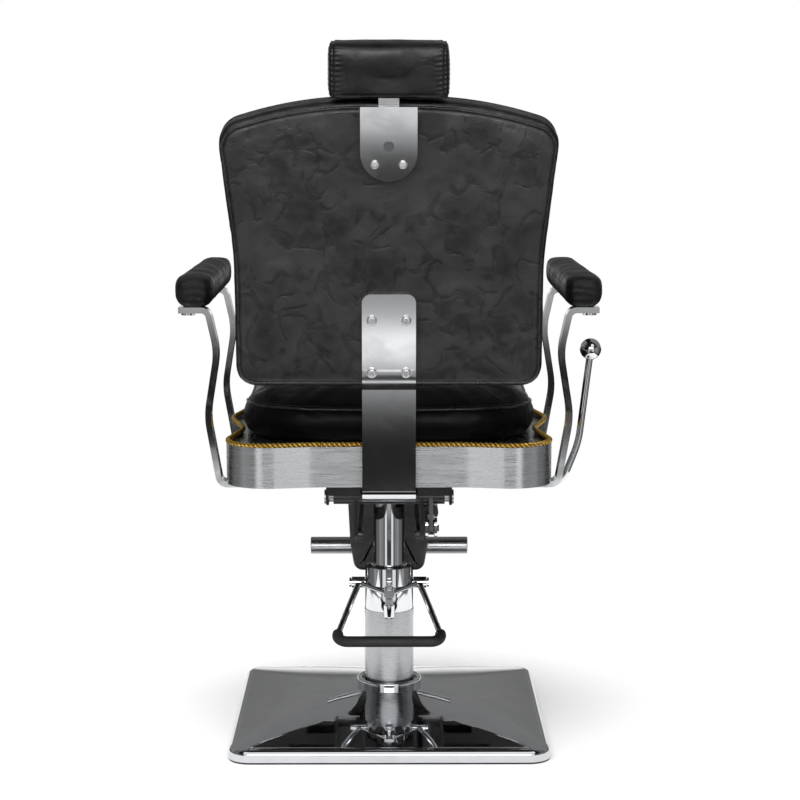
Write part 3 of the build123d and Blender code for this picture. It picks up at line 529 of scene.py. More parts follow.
def filleted_loop(corners: Sequence[Flat], radii: Sequence[float], step: float,
                  count: int = 0) -> list[Flat]:
    """Closed outline of straight runs and tangent arcs, as evenly spaced points.

    Args:
        corners: polygon corners in order.
        radii: arc radius at each corner.
        step: spacing of the points.
        count: number of points, when it is given in place of the spacing.

    Returns:
        Points round the outline.
    """
    sides = len(corners)
    dense: list[Vector] = []
    for k in range(sides):
        before, here, after = (Vector(corners[(k + d) % sides]) for d in (-1, 0, 1))
        inward = (before - here).normalized()
        outward = (after - here).normalized()
        half = math.acos(max(-1.0, min(1.0, inward.dot(outward)))) / 2
        reach = radii[k] / math.tan(half)
        middle = here + (inward + outward).normalized() * (radii[k] / math.sin(half))
        start = here + inward * reach - middle
        stop = here + outward * reach - middle
        turn = start.angle_signed(stop)
        for s in range(13):
            angle = -turn * s / 12
            c, q = math.cos(angle), math.sin(angle)
            dense.append(middle + Vector((start.x * c - start.y * q, start.x * q + start.y * c)))
    return evenly([tuple(p) for p in dense], step, count)


def mirrored_loop(half_mm: Sequence[Flat], radii_mm: Sequence[float], step: float) -> list[Flat]:
    """Filleted outline that is the same on both sides of the middle plane.

    Args:
        half_mm: corners of the +X half, in millimetres.
        radii_mm: arc radius at each of them, in millimetres.
        step: spacing of the points, in metres.

    Returns:
        Points round the outline, in metres.
    """
    half = [(x / 1000, y / 1000) for x, y in half_mm]
    other = [(-x, y) for x, y in reversed(half)]
    sizes = [r / 1000 for r in radii_mm]
    return filleted_loop(half + other, sizes + sizes[::-1], step)


def rounded_box(half_x: float, half_y: float, radius: float, step: float) -> list[Flat]:
    """Rounded rectangle about the origin.

    Args:
        half_x: half its width.
        half_y: half its height.
        radius: corner radius.
        step: spacing of the points.

    Returns:
        Points round the rectangle.
    """
    return filleted_loop([(half_x, half_y), (half_x, -half_y), (-half_x, -half_y),
                          (-half_x, half_y)], [radius] * 4, step)


def smooth_share(value: float) -> float:
    """Ease from 0 to 1 as the value goes from 0 to 1, and hold outside that.

    Args:
        value: any number.

    Returns:
        The eased share.
    """
    share = min(1.0, max(0.0, value))
    return share * share * (3 - 2 * share)


def evenly(loop: Sequence[Sequence[float]], step: float, count: int = 0
           ) -> list[tuple[float, ...]]:
    """Points round a closed loop at an even spacing, or a given number of them.

    Args:
        loop: points of the loop.
        step: wanted spacing.
        count: number of points, when it is given in place of the spacing.

    Returns:
        The new points.
    """
    line = np.array(list(loop) + [loop[0]], float)
    runs = np.linalg.norm(np.diff(line, axis=0), axis=1)
    along = np.concatenate([[0.0], np.cumsum(runs)])
    count = count or max(8, int(round(along[-1] / step)))
    wanted = np.linspace(0.0, along[-1], count, endpoint=False)
    return [tuple(p) for p in np.stack(
        [np.interp(wanted, along, line[:, d]) for d in range(line.shape[1])], axis=1)]


def inset_loop(loop: Sequence[Flat], inset: float) -> list[Flat]:
    """Move each point of a closed loop inwards by the same distance.

    Args:
        loop: points round an outline.
        inset: the distance, negative for outwards.

    Returns:
        The moved points.
    """
    line = np.array(loop, float)
    tangent = np.roll(line, -1, axis=0) - np.roll(line, 1, axis=0)
    normal = np.stack([-tangent[:, 1], tangent[:, 0]], axis=1)
    normal /= np.linalg.norm(normal, axis=1)[:, None]
    area = np.sum(line[:, 0] * np.roll(line[:, 1], -1) - np.roll(line[:, 0], -1) * line[:, 1])
    sign = 1.0 if area > 0 else -1.0
    return [tuple(p) for p in line + sign * inset * normal]


def path_frames(path: np.ndarray, closed: bool) -> tuple[np.ndarray, np.ndarray]:
    """Two unit vectors square to a path at each of its points, without sudden turns.

    Args:
        path: points as rows.
        closed: whether the last point leads to the first.

    Returns:
        The sideways vectors and the upward vectors.
    """
    ahead = np.roll(path, -1, axis=0) - np.roll(path, 1, axis=0)
    if not closed:
        ahead[0] = path[1] - path[0]
        ahead[-1] = path[-1] - path[-2]
    ahead /= np.linalg.norm(ahead, axis=1)[:, None]
    first = np.cross(ahead[0], (0.0, 0.0, 1.0))
    if np.linalg.norm(first) < 1e-3:
        first = np.cross(ahead[0], (0.0, 1.0, 0.0))
    side = [first / np.linalg.norm(first)]
    for k in range(1, len(path)):
        vector = side[-1] - ahead[k] * np.dot(side[-1], ahead[k])
        side.append(vector / np.linalg.norm(vector))
    sides = np.array(side)
    return sides, np.cross(ahead, sides)


def tube_points(path: Sequence[Point], radius: float, sides: int, closed: bool
                ) -> tuple[list[Point], list[tuple[int, ...]]]:
    """Vertices and faces of a round tube along a path, with narrowed ends when open.

    Args:
        path: centre line.
        radius: tube radius.
        sides: points round the tube.
        closed: whether the path is a loop.

    Returns:
        The vertices and the faces.
    """
    line = np.array(path, float)
    across, up = path_frames(line, closed)
    points: list[Point] = []
    last = len(line) - 1
    for k, centre in enumerate(line):
        size = radius * (0.55 if not closed and k in (0, last) else 1.0)
        for s in range(sides):
            angle = 2 * math.pi * s / sides
            points.append(tuple(centre + size * (math.cos(angle) * across[k]
                                                 + math.sin(angle) * up[k])))
    faces = ring_faces(len(line), sides, closed)
    if not closed:
        faces.append(tuple(range(sides)))
        faces.append(tuple(last * sides + s for s in range(sides)))
    return points, faces


def tubes(name: str, paths: Iterable[Sequence[Point]], radius: float,
          material: bpy.types.Material, sides: int = 10, closed: bool = False
          ) -> bpy.types.Object:
    """One object holding a round tube along each path.

    Args:
        name: object name.
        paths: centre lines.
        radius: tube radius.
        material: finish of the piece.
        sides: points round each tube.
        closed: whether the paths are loops.

    Returns:
        The linked object.
    """
    points: list[Point] = []
    faces: list[tuple[int, ...]] = []
    for path in paths:
        shift = len(points)
        some, rows = tube_points(path, radius, sides, closed)
        points += some
        faces += [tuple(index + shift for index in row) for row in rows]
    return new_piece(name, points, faces, material)


def stitch_paths(line: Sequence[Point], pitch: float, length: float, closed: bool = True
                 ) -> list[list[Point]]:
    """Short runs at an even pitch along a seam line.

    Args:
        line: the seam.
        pitch: distance from stitch to stitch.
        length: length of a stitch.
        closed: whether the seam is a loop.

    Returns:
        The points of each stitch.
    """
    points = np.array(list(line) + ([line[0]] if closed else []), float)
    runs = np.linalg.norm(np.diff(points, axis=0), axis=1)
    along = np.concatenate([[0.0], np.cumsum(runs)])
    count = int(along[-1] / pitch)
    out = []
    for k in range(count):
        spots = along[-1] * k / count + np.linspace(0.0, length, 4)
        spots = np.clip(spots, 0.0, along[-1])
        run = np.stack([np.interp(spots, along, points[:, d]) for d in range(3)], axis=1)
        out.append([tuple(p) for p in run])
    return out


def hugging(piece: bpy.types.Object, line: Sequence[Point], out: float) -> list[Point]:
    """Move the points of a line onto the surface of a piece.

    Args:
        piece: the settled cushion.
        line: points near its surface.
        out: how far the line stands off the surface.

    Returns:
        The moved points.
    """
    mesh = piece.data
    tree = BVHTree.FromPolygons([v.co for v in mesh.vertices],
                                [tuple(f.vertices) for f in mesh.polygons])
    moved = []
    for point in line:
        spot, normal, _, _ = tree.find_nearest(Vector(point))
        moved.append(tuple(spot + normal * out))
    return moved


def ripple(point: Sequence[float], scale: float, seed: float) -> float:
    """Smooth noise from -1 to 1 at a point.

    Args:
        point: where it is read.
        scale: features per metre.
        seed: picks the pattern.

    Returns:
        The noise value.
    """
    return noise.noise(Vector(point) * scale + Vector((seed, 2 * seed, 3 * seed)))


def displace(piece: bpy.types.Object, amount: Callable[[Vector, Vector], float]) -> None:
    """Move each vertex along its normal.

    Args:
        piece: mesh object in the row frame.
        amount: gives the distance in metres from the vertex's place and normal.
    """
    moves = [v.normal * amount(v.co, v.normal) for v in piece.data.vertices]
    for vertex, move in zip(piece.data.vertices, moves):
        vertex.co += move
    piece.data.update()


def settle(piece: bpy.types.Object) -> None:
    """Apply all modifiers of a piece to its mesh."""
    shown = piece.evaluated_get(bpy.context.evaluated_depsgraph_get())
    mesh = bpy.data.meshes.new_from_object(shown)
    piece.modifiers.clear()
    old = piece.data
    piece.data = mesh
    bpy.data.meshes.remove(old)
    mesh.shade_smooth()


def subdivide(piece: bpy.types.Object, levels: int = 1) -> None:
    """Smooth the mesh with a subdivision surface and apply it."""
    modifier = piece.modifiers.new("smooth", "SUBSURF")
    modifier.levels = levels
    modifier.render_levels = levels
    settle(piece)


@dataclass
class Swell:
    """A short cloth simulation that fills a closed cover with pressure."""

    voxel: float = 0.006
    pressure: float = 4.0
    frames: int = 20
    reach: float = 0.01

    def fill(self, piece: bpy.types.Object, held: Callable[[Vector], bool]) -> None:
        """Remesh the cover, blow it up and keep the result.

        Args:
            piece: closed mesh in the row frame.
            held: says which points of the cover are sewn or glued down.
        """
        remesh = piece.modifiers.new("even", "REMESH")
        remesh.mode = "VOXEL"
        remesh.voxel_size = self.voxel
        settle(piece)
        start = np.array([v.co for v in piece.data.vertices], float)
        pins = piece.vertex_groups.new(name="sewn")
        pins.add([v.index for v in piece.data.vertices if held(v.co)], 1.0, "REPLACE")
        cloth = piece.modifiers.new("swell", "CLOTH")
        settings = cloth.settings
        settings.quality = 5
        settings.mass = 0.3
        settings.tension_stiffness = 22.0
        settings.compression_stiffness = 22.0
        settings.shear_stiffness = 8.0
        settings.bending_stiffness = 1.2
        settings.use_pressure = True
        settings.uniform_pressure_force = self.pressure
        settings.effector_weights.gravity = 0.0
        settings.vertex_group_mass = "sewn"
        cloth.collision_settings.use_collision = False
        cloth.point_cache.frame_start = 1
        cloth.point_cache.frame_end = self.frames
        scene = bpy.context.scene
        for number in range(1, self.frames + 1):
            scene.frame_set(number)
        settle(piece)
        scene.frame_set(1)
        swollen = np.array([v.co for v in piece.data.vertices], float)
        move = swollen - start
        length = np.linalg.norm(move, axis=1)
        share = np.where(length > 1e-9, self.reach * np.tanh(length / self.reach) / np.maximum(
            length, 1e-9), 0.0)
        final = start + move * share[:, None]
        piece.data.vertices.foreach_set("co", final.astype(np.float32).ravel())
        piece.data.update()
        piece.vertex_groups.clear()
        subdivide(piece)


def publish(piece: bpy.types.Object, body: str, slot: str, *nodes: str, fill: float = -1.0
            ) -> bpy.types.Object:
    """Tie a finished piece to its body and hide the CAD nodes that it stands for.

    Args:
        piece: the finished mesh.
        body: CAD body that it rides on.
        slot: material slot of the record; not used.
        nodes: CAD nodes that it stands for.
        fill: how tight a padded piece is, or negative when it isn't padded; not used.

    Returns:
        The same piece.
    """
    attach(piece, body)
    if nodes:
        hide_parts(*nodes)
    log.info("%s rides on %s", piece.name, body)
    return piece


def piping(name: str, line: Sequence[Point], radius: float, palette: Palette
           ) -> bpy.types.Object:
    """Closed leather welt along a seam line.

    Args:
        name: object name.
        line: the seam.
        radius: thickness of the welt, halved.
        palette: finishes.

    Returns:
        The linked object.
    """
    return tubes(name, [line], radius, palette.welt_leather, 12, True)


def sewing(name: str, stitches: Iterable[Sequence[Point]], palette: Palette,
           radius: float = 0.0004) -> bpy.types.Object:
    """One object holding a run of thread for each stitch.

    Args:
        name: object name.
        stitches: points of each stitch.
        palette: finishes.
        radius: thickness of the thread, halved.

    Returns:
        The linked object.
    """
    return tubes(name, stitches, radius, palette.thread, 6)


# ------------------------------------------------------------------ sub-assemblies
@dataclass
class Hardware:
    """CAD parts whose shape stays and which only need their finish."""

    palette: Palette

    def dress(self) -> None:
        """Give every carried-over CAD node its material."""
        looks = self.palette
        groups = {
            looks.chrome: ("base_trim_ring", "pump_head", "gland_nut", "plunger_guide",
                           "pedal_pins", "pedal_yoke", "ram", "arm_legs_left", "arm_legs_right",
                           "arm_screws", "strut_rod", "lever_rod", "lever_ball"),
            looks.screw: ("strap_bolts", "plaque_screws"),
            looks.strap_chrome: ("back_strap", "guide_plaque"),
            looks.button: ("release_button",),
            looks.base_chrome: ("base_shell",),
            looks.tube: ("outer_tube",),
            looks.band: ("seat_band",),
            looks.bar: ("footrest_bar",),
            looks.stem: ("headrest_stem",),
            looks.deck: ("seat_deck",),
            looks.steel: ("adjusting_screw", "plunger", "plunger_spring", "inner_cylinder",
                          "piston", "mount_bolts", "hinge_pins", "headrest_pin"),
            looks.enamel: ("base_plate", "pump_cap", "ram_socket", "mech_frame",
                           "strut_cylinder", "back_crank", "leg_bracket", "link_rods"),
            looks.rubber: ("floor_liner", "pedal_grip", "piston_seal"),
            looks.plastic: ("headrest_guide",),
            looks.black_wood: ("seat_timber", "seat_board"),
            looks.wood: ("back_board", "arm_boards"),
            looks.foam: ("seat_foam", "back_foam", "headrest_foam"),
        }
        for material, names in groups.items():
            for name in names:
                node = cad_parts[name]
                node.data.materials.clear()
                node.data.materials.append(material)
                log.info("%s is finished in %s", name, material.name)


@dataclass
class SeatOutline:
    """Scalloped outline of the seat, scaled to the metal band."""

    corners: tuple[Flat, ...] = (
        (112, 246), (264, 274), (230, 85), (260, -35), (236, -150), (250, -262), (112, -248),
    )
    radii: tuple[float, ...] = (90, 64, 120, 140, 140, 60, 100)
    step: float = 0.003

    def loop(self, inset: float) -> list[Flat]:
        """Outline drawn in by a distance, in metres."""
        return inset_loop(mirrored_loop(self.corners, self.radii, self.step), inset)


@dataclass
class Seat:
    """Seat cushion and the rope trim round the deck."""

    palette: Palette
    rope_inset: float = 0.0022
    strand: float = 0.00195
    strand_offset: float = 0.002
    rope_pitch: float = 0.015
    strands: int = 2
    corner: float = 0.112
    seam_share: float = 0.66
    stitch_rise: float = 0.0065
    welt: float = 0.0021
    crown: tuple[Flat, ...] = (
        (0.0, 0.014), (0.06, 0.004), (0.2, -0.006), (0.34, -0.0085), (0.5, -0.0075),
        (0.66, -0.001), (0.79, 0.009), (0.88, 0.025), (0.93, 0.048), (0.955, 0.085),
        (0.965, 0.13), (0.97, 0.18),
    )

    def rope(self) -> None:
        """Twist the strands of the trim along the band's top edge."""
        low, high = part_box("seat_trim")
        loop = evenly(SeatOutline().loop(self.rope_inset), 0.0012)
        line = np.array([(x, y, (low.z + high.z) / 2 + 0.0004) for x, y in loop])
        across, up = path_frames(line, True)
        length = np.sum(np.linalg.norm(np.roll(line, -1, axis=0) - line, axis=1))
        turns = round(length / self.rope_pitch)
        paths = []
        for strand in range(self.strands):
            angle = (2 * math.pi * turns * np.arange(len(line)) / len(line)
                     + 2 * math.pi * strand / self.strands)
            paths.append(line + self.strand_offset * (np.cos(angle)[:, None] * across
                                                      + np.sin(angle)[:, None] * up))
        piece = tubes("rope_trim", paths, self.strand, self.palette.gold, 8, True)
        publish(piece, "seat", "gold_rope", "seat_trim")

    def cushion(self) -> None:
        """Crowned seat cushion that rests on the deck."""
        low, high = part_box("seat_cover")
        half_x = (high.x - low.x) / 2
        half_y = (high.y - low.y) / 2
        middle_y = (high.y + low.y) / 2
        outline = rounded_box(half_x, half_y, self.corner, 0.008)
        height = high.z - low.z
        rings = []
        for share, inset in self.crown:
            size = [1 - inset / half_x, 1 - inset / half_y]
            rings.append([(x * size[0], middle_y + y * size[1], low.z + share * height)
                          for x, y in outline])
        piece = lofted("seat_cushion", rings, self.palette.seat_leather)
        floor = low.z + 0.004
        Swell(reach=0.007).fill(piece, lambda co: co.z < floor)
        displace(piece, lambda co, n: 0.0007 * ripple(co, 9.0, 3.0) if co.z > floor else 0.0)
        level = low.z + self.seam_share * height
        line = evenly([(x, middle_y + y, level) for x, y in outline], 0.006)
        welt = piping("seat_welt", hugging(piece, line, 0.0004), self.welt, self.palette)
        level += self.stitch_rise
        line = evenly([(x, middle_y + y, level) for x, y in outline], 0.003)
        thread = sewing("seat_stitches", stitch_paths(hugging(piece, line, 0.0), 0.0044, 0.003),
                        self.palette)
        publish(piece, "seat", "black_leather", "seat_cover", "seat_foam", fill=0.8)
        publish(welt, "seat", "black_leather")
        publish(thread, "seat", "black_leather")

    def build(self) -> None:
        """Make the seat's own pieces."""
        self.rope()
        self.cushion()


@dataclass
class BackFrame:
    """Directions of the reclining back: across, up the back and out to the rear."""

    lean: float = math.radians(5.0)
    foot: Point = (0.0, 0.266, 0.592)

    def place(self, x: float, up: float, out: float) -> Point:
        """Point of the back in the row frame.

        Args:
            x: distance across.
            up: distance up the back.
            out: distance out to the rear.

        Returns:
            The point.
        """
        c, s = math.cos(self.lean), math.sin(self.lean)
        return (x, self.foot[1] + up * s + out * c, self.foot[2] + up * c - out * s)

    def local(self, point: Sequence[float]) -> Point:
        """A row-frame point as across, up and out."""
        c, s = math.cos(self.lean), math.sin(self.lean)
        y = point[1] - self.foot[1]
        z = point[2] - self.foot[2]
        return (point[0], y * s + z * c, y * c - z * s)


@dataclass
class Back:
    """Upholstery of the back: front cushion, rear panel, welts and stitching."""

    palette: Palette
    axes: BackFrame
    corners: tuple[Flat, ...] = ((130, 420), (252, 382), (229, 190), (228, -5))
    radii: tuple[float, ...] = (600, 36, 500, 30)
    panel_corners: tuple[Flat, ...] = ((130, 410), (246, 372.5), (223.5, 190), (222.5, 2))
    panel_radii: tuple[float, ...] = (600, 32, 500, 24)
    middle: Flat = (0.0, 0.212)
    front: float = -0.088
    seam_back: float = 0.019
    welt: float = 0.0023
    front_welt: float = 0.0028
    puff: float = 0.0026
    strap_half: float = 0.042
    strap_top: float = 0.142
    plaque_half: float = 0.044
    plaque_foot: float = 0.297
    between_metal: float = 0.22
    flat_margin: float = 0.05
    side_profile: tuple[Flat, ...] = (
        (-0.0035, 0.012), (-0.0035, 0.006), (-0.005, 0.002), (-0.009, 0.0), (-0.02, -0.0005),
        (-0.045, 0.0), (-0.062, 0.0005), (-0.069, 0.002), (-0.0745, 0.009), (-0.079, 0.02),
        (-0.0815, 0.036), (-0.083, 0.056), (-0.084, 0.08), (-0.0845, 0.12),
    )

    def outline(self, inset: float, step: float = 0.006, panel: bool = False) -> list[Flat]:
        """Outline of the cushion, or of the rear panel, drawn in by a distance.

        Args:
            inset: the distance.
            step: spacing of the points.
            panel: take the rear panel's outline.

        Returns:
            Points as across and up.
        """
        corners = self.panel_corners if panel else self.corners
        radii = self.panel_radii if panel else self.radii
        return inset_loop(mirrored_loop(corners, radii, step), inset)

    def towards_middle(self, loop: Sequence[Flat], share: float) -> list[Flat]:
        """Shrink a loop towards the middle of the back."""
        cx, cy = self.middle
        return [(cx + (x - cx) * share, cy + (y - cy) * share) for x, y in loop]

    def clear_of_metal(self, x: float, up: float) -> float:
        """0 under the strap and the plaque, 1 well away from them.

        Args:
            x: distance across.
            up: distance up the back.

        Returns:
            The share.
        """
        if up < self.between_metal:
            gap = max(abs(x) - self.strap_half, up - self.strap_top)
        else:
            gap = max(abs(x) - self.plaque_half, self.plaque_foot - up)
        return smooth_share(gap / self.flat_margin)

    def rear_panel(self) -> None:
        """Stretched leather panel on the rear, a little puffed between its edges."""
        edge = self.outline(0.0012, 0.004, True)
        rings = []
        levels = [(1.0, -0.0055), (1.0, -0.0035), (0.996, -0.0016), (0.988, -0.0006)]
        levels += [(share, 0.0) for share in np.linspace(0.975, 0.03, 60)]
        for share, out in levels:
            ring = []
            for x, up in self.towards_middle(edge, share):
                lift = 0.0
                if out == 0.0:
                    swell = smooth_share((1 - share) * 7) * self.clear_of_metal(x, up)
                    waves = (0.55 * ripple((x, up, 0.3), 9.0, 1.0)
                             + 0.3 * ripple((x, up, 0.7), 26.0, 2.0)
                             + 0.16 * ripple((x, up, 0.1), 60.0, 4.0))
                    lift = swell * self.puff * (0.62 + waves)
                ring.append(self.axes.place(x, up, out + lift))
            rings.append(ring)
        piece = lofted("rear_panel", rings, self.palette.panel_leather)
        publish(piece, "back", "black_leather", "back_rear_cover", fill=0.35)

    def seam_line(self, inset: float, out: float, panel: bool) -> list[Point]:
        """Seam that follows the outline of the cushion or of the rear panel."""
        return [self.axes.place(x, up, out) for x, up in self.outline(inset, 0.003, panel)]

    def welts(self) -> None:
        """Piping round the rear panel and round the front of the cushion."""
        rear = piping("rear_welt", self.seam_line(0.0, -0.0026, True), self.welt, self.palette)
        publish(rear, "back", "black_leather")
        line = self.seam_line(0.0072, 0.0001, True)
        thread = sewing("rear_stitches", stitch_paths(line, 0.0042, 0.003), self.palette)
        publish(thread, "back", "black_leather")
        front = piping("front_welt", self.seam_line(0.001, self.front + self.seam_back, False),
                       self.front_welt, self.palette)
        publish(front, "back", "black_leather")

    def cushion(self) -> None:
        """Front cushion with a boxed side and a crowned face."""
        edge = self.outline(0.0, 0.008)
        rings = []
        for out, inset in self.side_profile:
            share = 1 - inset / 0.22
            rings.append([self.axes.place(x, up, out)
                          for x, up in self.towards_middle(edge, share)])
        piece = lofted("back_cushion", rings, self.palette.soft_leather)

        seam = self.front + self.seam_back

        def held(co: Vector) -> bool:
            """Whether a point is glued to the board or sewn into the front seam."""
            out = self.axes.local(co)[2]
            return out > -0.011 or abs(out - seam) < 0.004

        def softness(co: Vector, normal: Vector) -> float:
            """Gentle unevenness of the padded part."""
            if self.axes.local(co)[2] >= -0.012:
                return 0.0
            return 0.0009 * ripple(co, 19.0, 7.0) + 0.0004 * ripple(co, 52.0, 8.0)

        Swell(reach=0.006).fill(piece, held)
        displace(piece, softness)
        publish(piece, "back", "black_leather", "back_cover", "back_foam", "back_board",
                fill=0.75)

    def build(self) -> None:
        """Make the back's soft pieces."""
        self.cushion()
        self.rear_panel()
        self.welts()


@dataclass
class Headrest:
    """Headrest pillow with sewn end panels."""

    palette: Palette
    axes: BackFrame
    low: float = 0.4215
    high: float = 0.505
    front: float = -0.072
    rear: float = 0.014
    gusset: float = 0.0075
    radius: float = 0.013
    end_profile: tuple[Flat, ...] = (
        (0.0, 0.02), (0.001, 0.008), (0.003, 0.003), (0.0075, 0.001), (0.02, 0.0012),
        (0.05, 0.0014),
    )

    def section(self, shrink: float) -> list[Flat]:
        """Rounded cross-section, as up and out, drawn in by a distance."""
        box = [(self.high - shrink, self.rear - shrink), (self.high - shrink, self.front + shrink),
               (self.low + shrink, self.front + shrink), (self.low + shrink, self.rear - shrink)]
        return filleted_loop(box, [self.radius, 0.024, 0.02, 0.008], 0.005, 64)

    def in_recess(self, co: Sequence[float], margin: float = 0.0) -> bool:
        """Whether a point lies in the pocket for the stem."""
        x, up, out = self.axes.local(co)
        return abs(x) < 0.0175 + margin and up < 0.448 + margin and out > -0.002 - margin

    def build(self) -> None:
        """Make the pillow, its seams and its stitches."""
        low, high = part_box("headrest_cover")
        half = (high.x - low.x) / 2
        rings = []
        left = [(-half + depth, shrink) for depth, shrink in self.end_profile]
        right = [(half - depth, shrink) for depth, shrink in reversed(self.end_profile)]
        for x, shrink in left + [(0.0, 0.0014)] + right:
            rings.append([self.axes.place(x, up, out) for up, out in self.section(shrink)])
        piece = lofted("headrest_pillow", rings, self.palette.soft_leather)
        seam = half - self.gusset
        Swell(voxel=0.004, reach=0.004).fill(
            piece, lambda co: abs(abs(co.x) - seam) < 0.003 or self.in_recess(co, 0.006))
        self.pinch(piece, seam)
        publish(piece, "headrest", "black_leather", "headrest_cover", "headrest_foam", fill=0.8)
        paths = []
        for side in (-1, 1):
            loop = [self.axes.place(side * (seam - 0.003), up, out)
                    for up, out in self.section(0.0008)]
            kept = [p for p in evenly(loop, 0.003) if not self.in_recess(p, 0.004)]
            paths += stitch_paths(kept, 0.0042, 0.0029)
        thread = sewing("headrest_stitches", paths, self.palette, 0.00035)
        publish(thread, "headrest", "black_leather")

    def pinch(self, piece: bpy.types.Object, seam: float) -> None:
        """Draw the cover in along both end seams.

        Args:
            piece: the pillow.
            seam: distance of the seams from the middle.
        """
        def depth(co: Vector, normal: Vector) -> float:
            """Groove on the seam, with small pleats beside it."""
            away = abs(abs(co.x) - seam)
            groove = -0.0014 * math.exp(-(away / 0.0017) ** 2)
            pleats = 0.0005 * math.sin(900 * co.z + 5 * ripple(co, 40.0, 2.0))
            pleats *= math.exp(-(away / 0.01) ** 2)
            return groove + pleats + 0.0007 * ripple(co, 30.0, 6.0)

        displace(piece, depth)


@dataclass
class ArmPads:
    """Two padded armrests with leather wrapped round their boards."""

    palette: Palette
    front_narrow: float = 0.008
    end_round: float = 0.022
    seam_drop: float = 0.013

    def ring(self, along: float, side: int, low: Vector, high: Vector, bottom: float
             ) -> list[Point]:
        """Closed D-shaped ring of the pad at a place along its length.

        Args:
            along: 0 at the front end, 1 at the rear end.
            side: 1 for +X, -1 for -X.
            low: lowest corner of the CAD pad.
            high: highest corner of the CAD pad.
            bottom: underside of the wrapped board.

        Returns:
            Points round the ring.
        """
        length = high.y - low.y
        y = low.y + along * length
        from_end = min(along, 1 - along) * length
        reach = min(1.0, from_end / self.end_round)
        share = 0.5 + 0.5 * math.sqrt(max(0.0, 1 - (1 - reach) ** 2))
        inner = min(abs(low.x), abs(high.x)) + 0.001
        outer = max(abs(low.x), abs(high.x)) - 0.001 - self.front_narrow * (1 - along) ** 1.5
        centre = (inner + outer) / 2
        half = (outer - inner) / 2 * share
        top = high.z + 0.004
        middle = (top + bottom) / 2
        tall = (top - bottom) / 2 * (0.3 + 0.7 * share)
        points = []
        for k in range(40):
            angle = 2 * math.pi * k / 40
            c, s = math.cos(angle), math.sin(angle)
            spread, power = (0.5, 0.5) if s > 0 else (0.62, 0.86)
            points.append((side * (centre + half * math.copysign(abs(c) ** spread, c)), y,
                           middle + tall * math.copysign(abs(s) ** power, s)))
        return points

    def build(self) -> None:
        """Make both pads with their wrinkles and side seams."""
        board_low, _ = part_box("arm_boards")
        for side, name in ((1, "left"), (-1, "right")):
            low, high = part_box(f"arm_pad_{name}")
            bottom = board_low.z - 0.001
            spots = 0.5 - 0.5 * np.cos(np.linspace(0.0, math.pi, 46))
            rings = [self.ring(t, side, low, high, bottom) for t in spots]
            piece = lofted(f"arm_cushion_{name}", rings, self.palette.pad_leather)
            floor = bottom + 0.004
            Swell(voxel=0.0045, reach=0.003).fill(piece, lambda co: co.z < floor)
            self.wrinkle(piece, low, high, floor)
            nodes = [f"arm_pad_{name}"] + (["arm_boards"] if side > 0 else [])
            publish(piece, "seat", "black_leather", *nodes, fill=0.7)
            self.seam(side, name, low, high)

    def wrinkle(self, piece: bpy.types.Object, low: Vector, high: Vector, floor: float) -> None:
        """Add gathers at both ends and soft cross folds along the top.

        Args:
            piece: the pad.
            low: lowest corner of the CAD pad.
            high: highest corner of the CAD pad.
            floor: height below which it stays flat.
        """
        def depth(co: Vector, normal: Vector) -> float:
            """Gathers near the ends, and folds everywhere above the board."""
            if co.z < floor:
                return 0.0
            end = min(co.y - low.y, high.y - co.y)
            gather = 0.0003 * math.sin(560 * co.z + 4 * ripple(co, 30.0, 1.0))
            gather *= math.exp(-(max(end, 0.0) / 0.016) ** 2)
            fold = 0.0007 * ripple((co.x * 0.4, co.y * 2.2, co.z * 0.5), 34.0, 9.0)
            return gather + fold + 0.0003 * ripple(co, 90.0, 3.0)

        displace(piece, depth)

    def seam(self, side: int, name: str, low: Vector, high: Vector) -> None:
        """Sewn line along the inner side of the pad, below its top.

        Args:
            side: 1 for +X, -1 for -X.
            name: side in words.
            low: lowest corner of the CAD pad.
            high: highest corner of the CAD pad.
        """
        level = high.z - self.seam_drop
        inner = min(abs(low.x), abs(high.x)) + 0.0006
        line = []
        for y in np.arange(low.y + 0.03, high.y - 0.03, 0.004):
            line.append((side * inner, float(y), level + 0.0006 * ripple((0, y, 0), 20.0, side)))
        thread = sewing(f"arm_stitches_{name}", stitch_paths(line, 0.0044, 0.003, False),
                        self.palette)
        publish(thread, "seat", "black_leather")


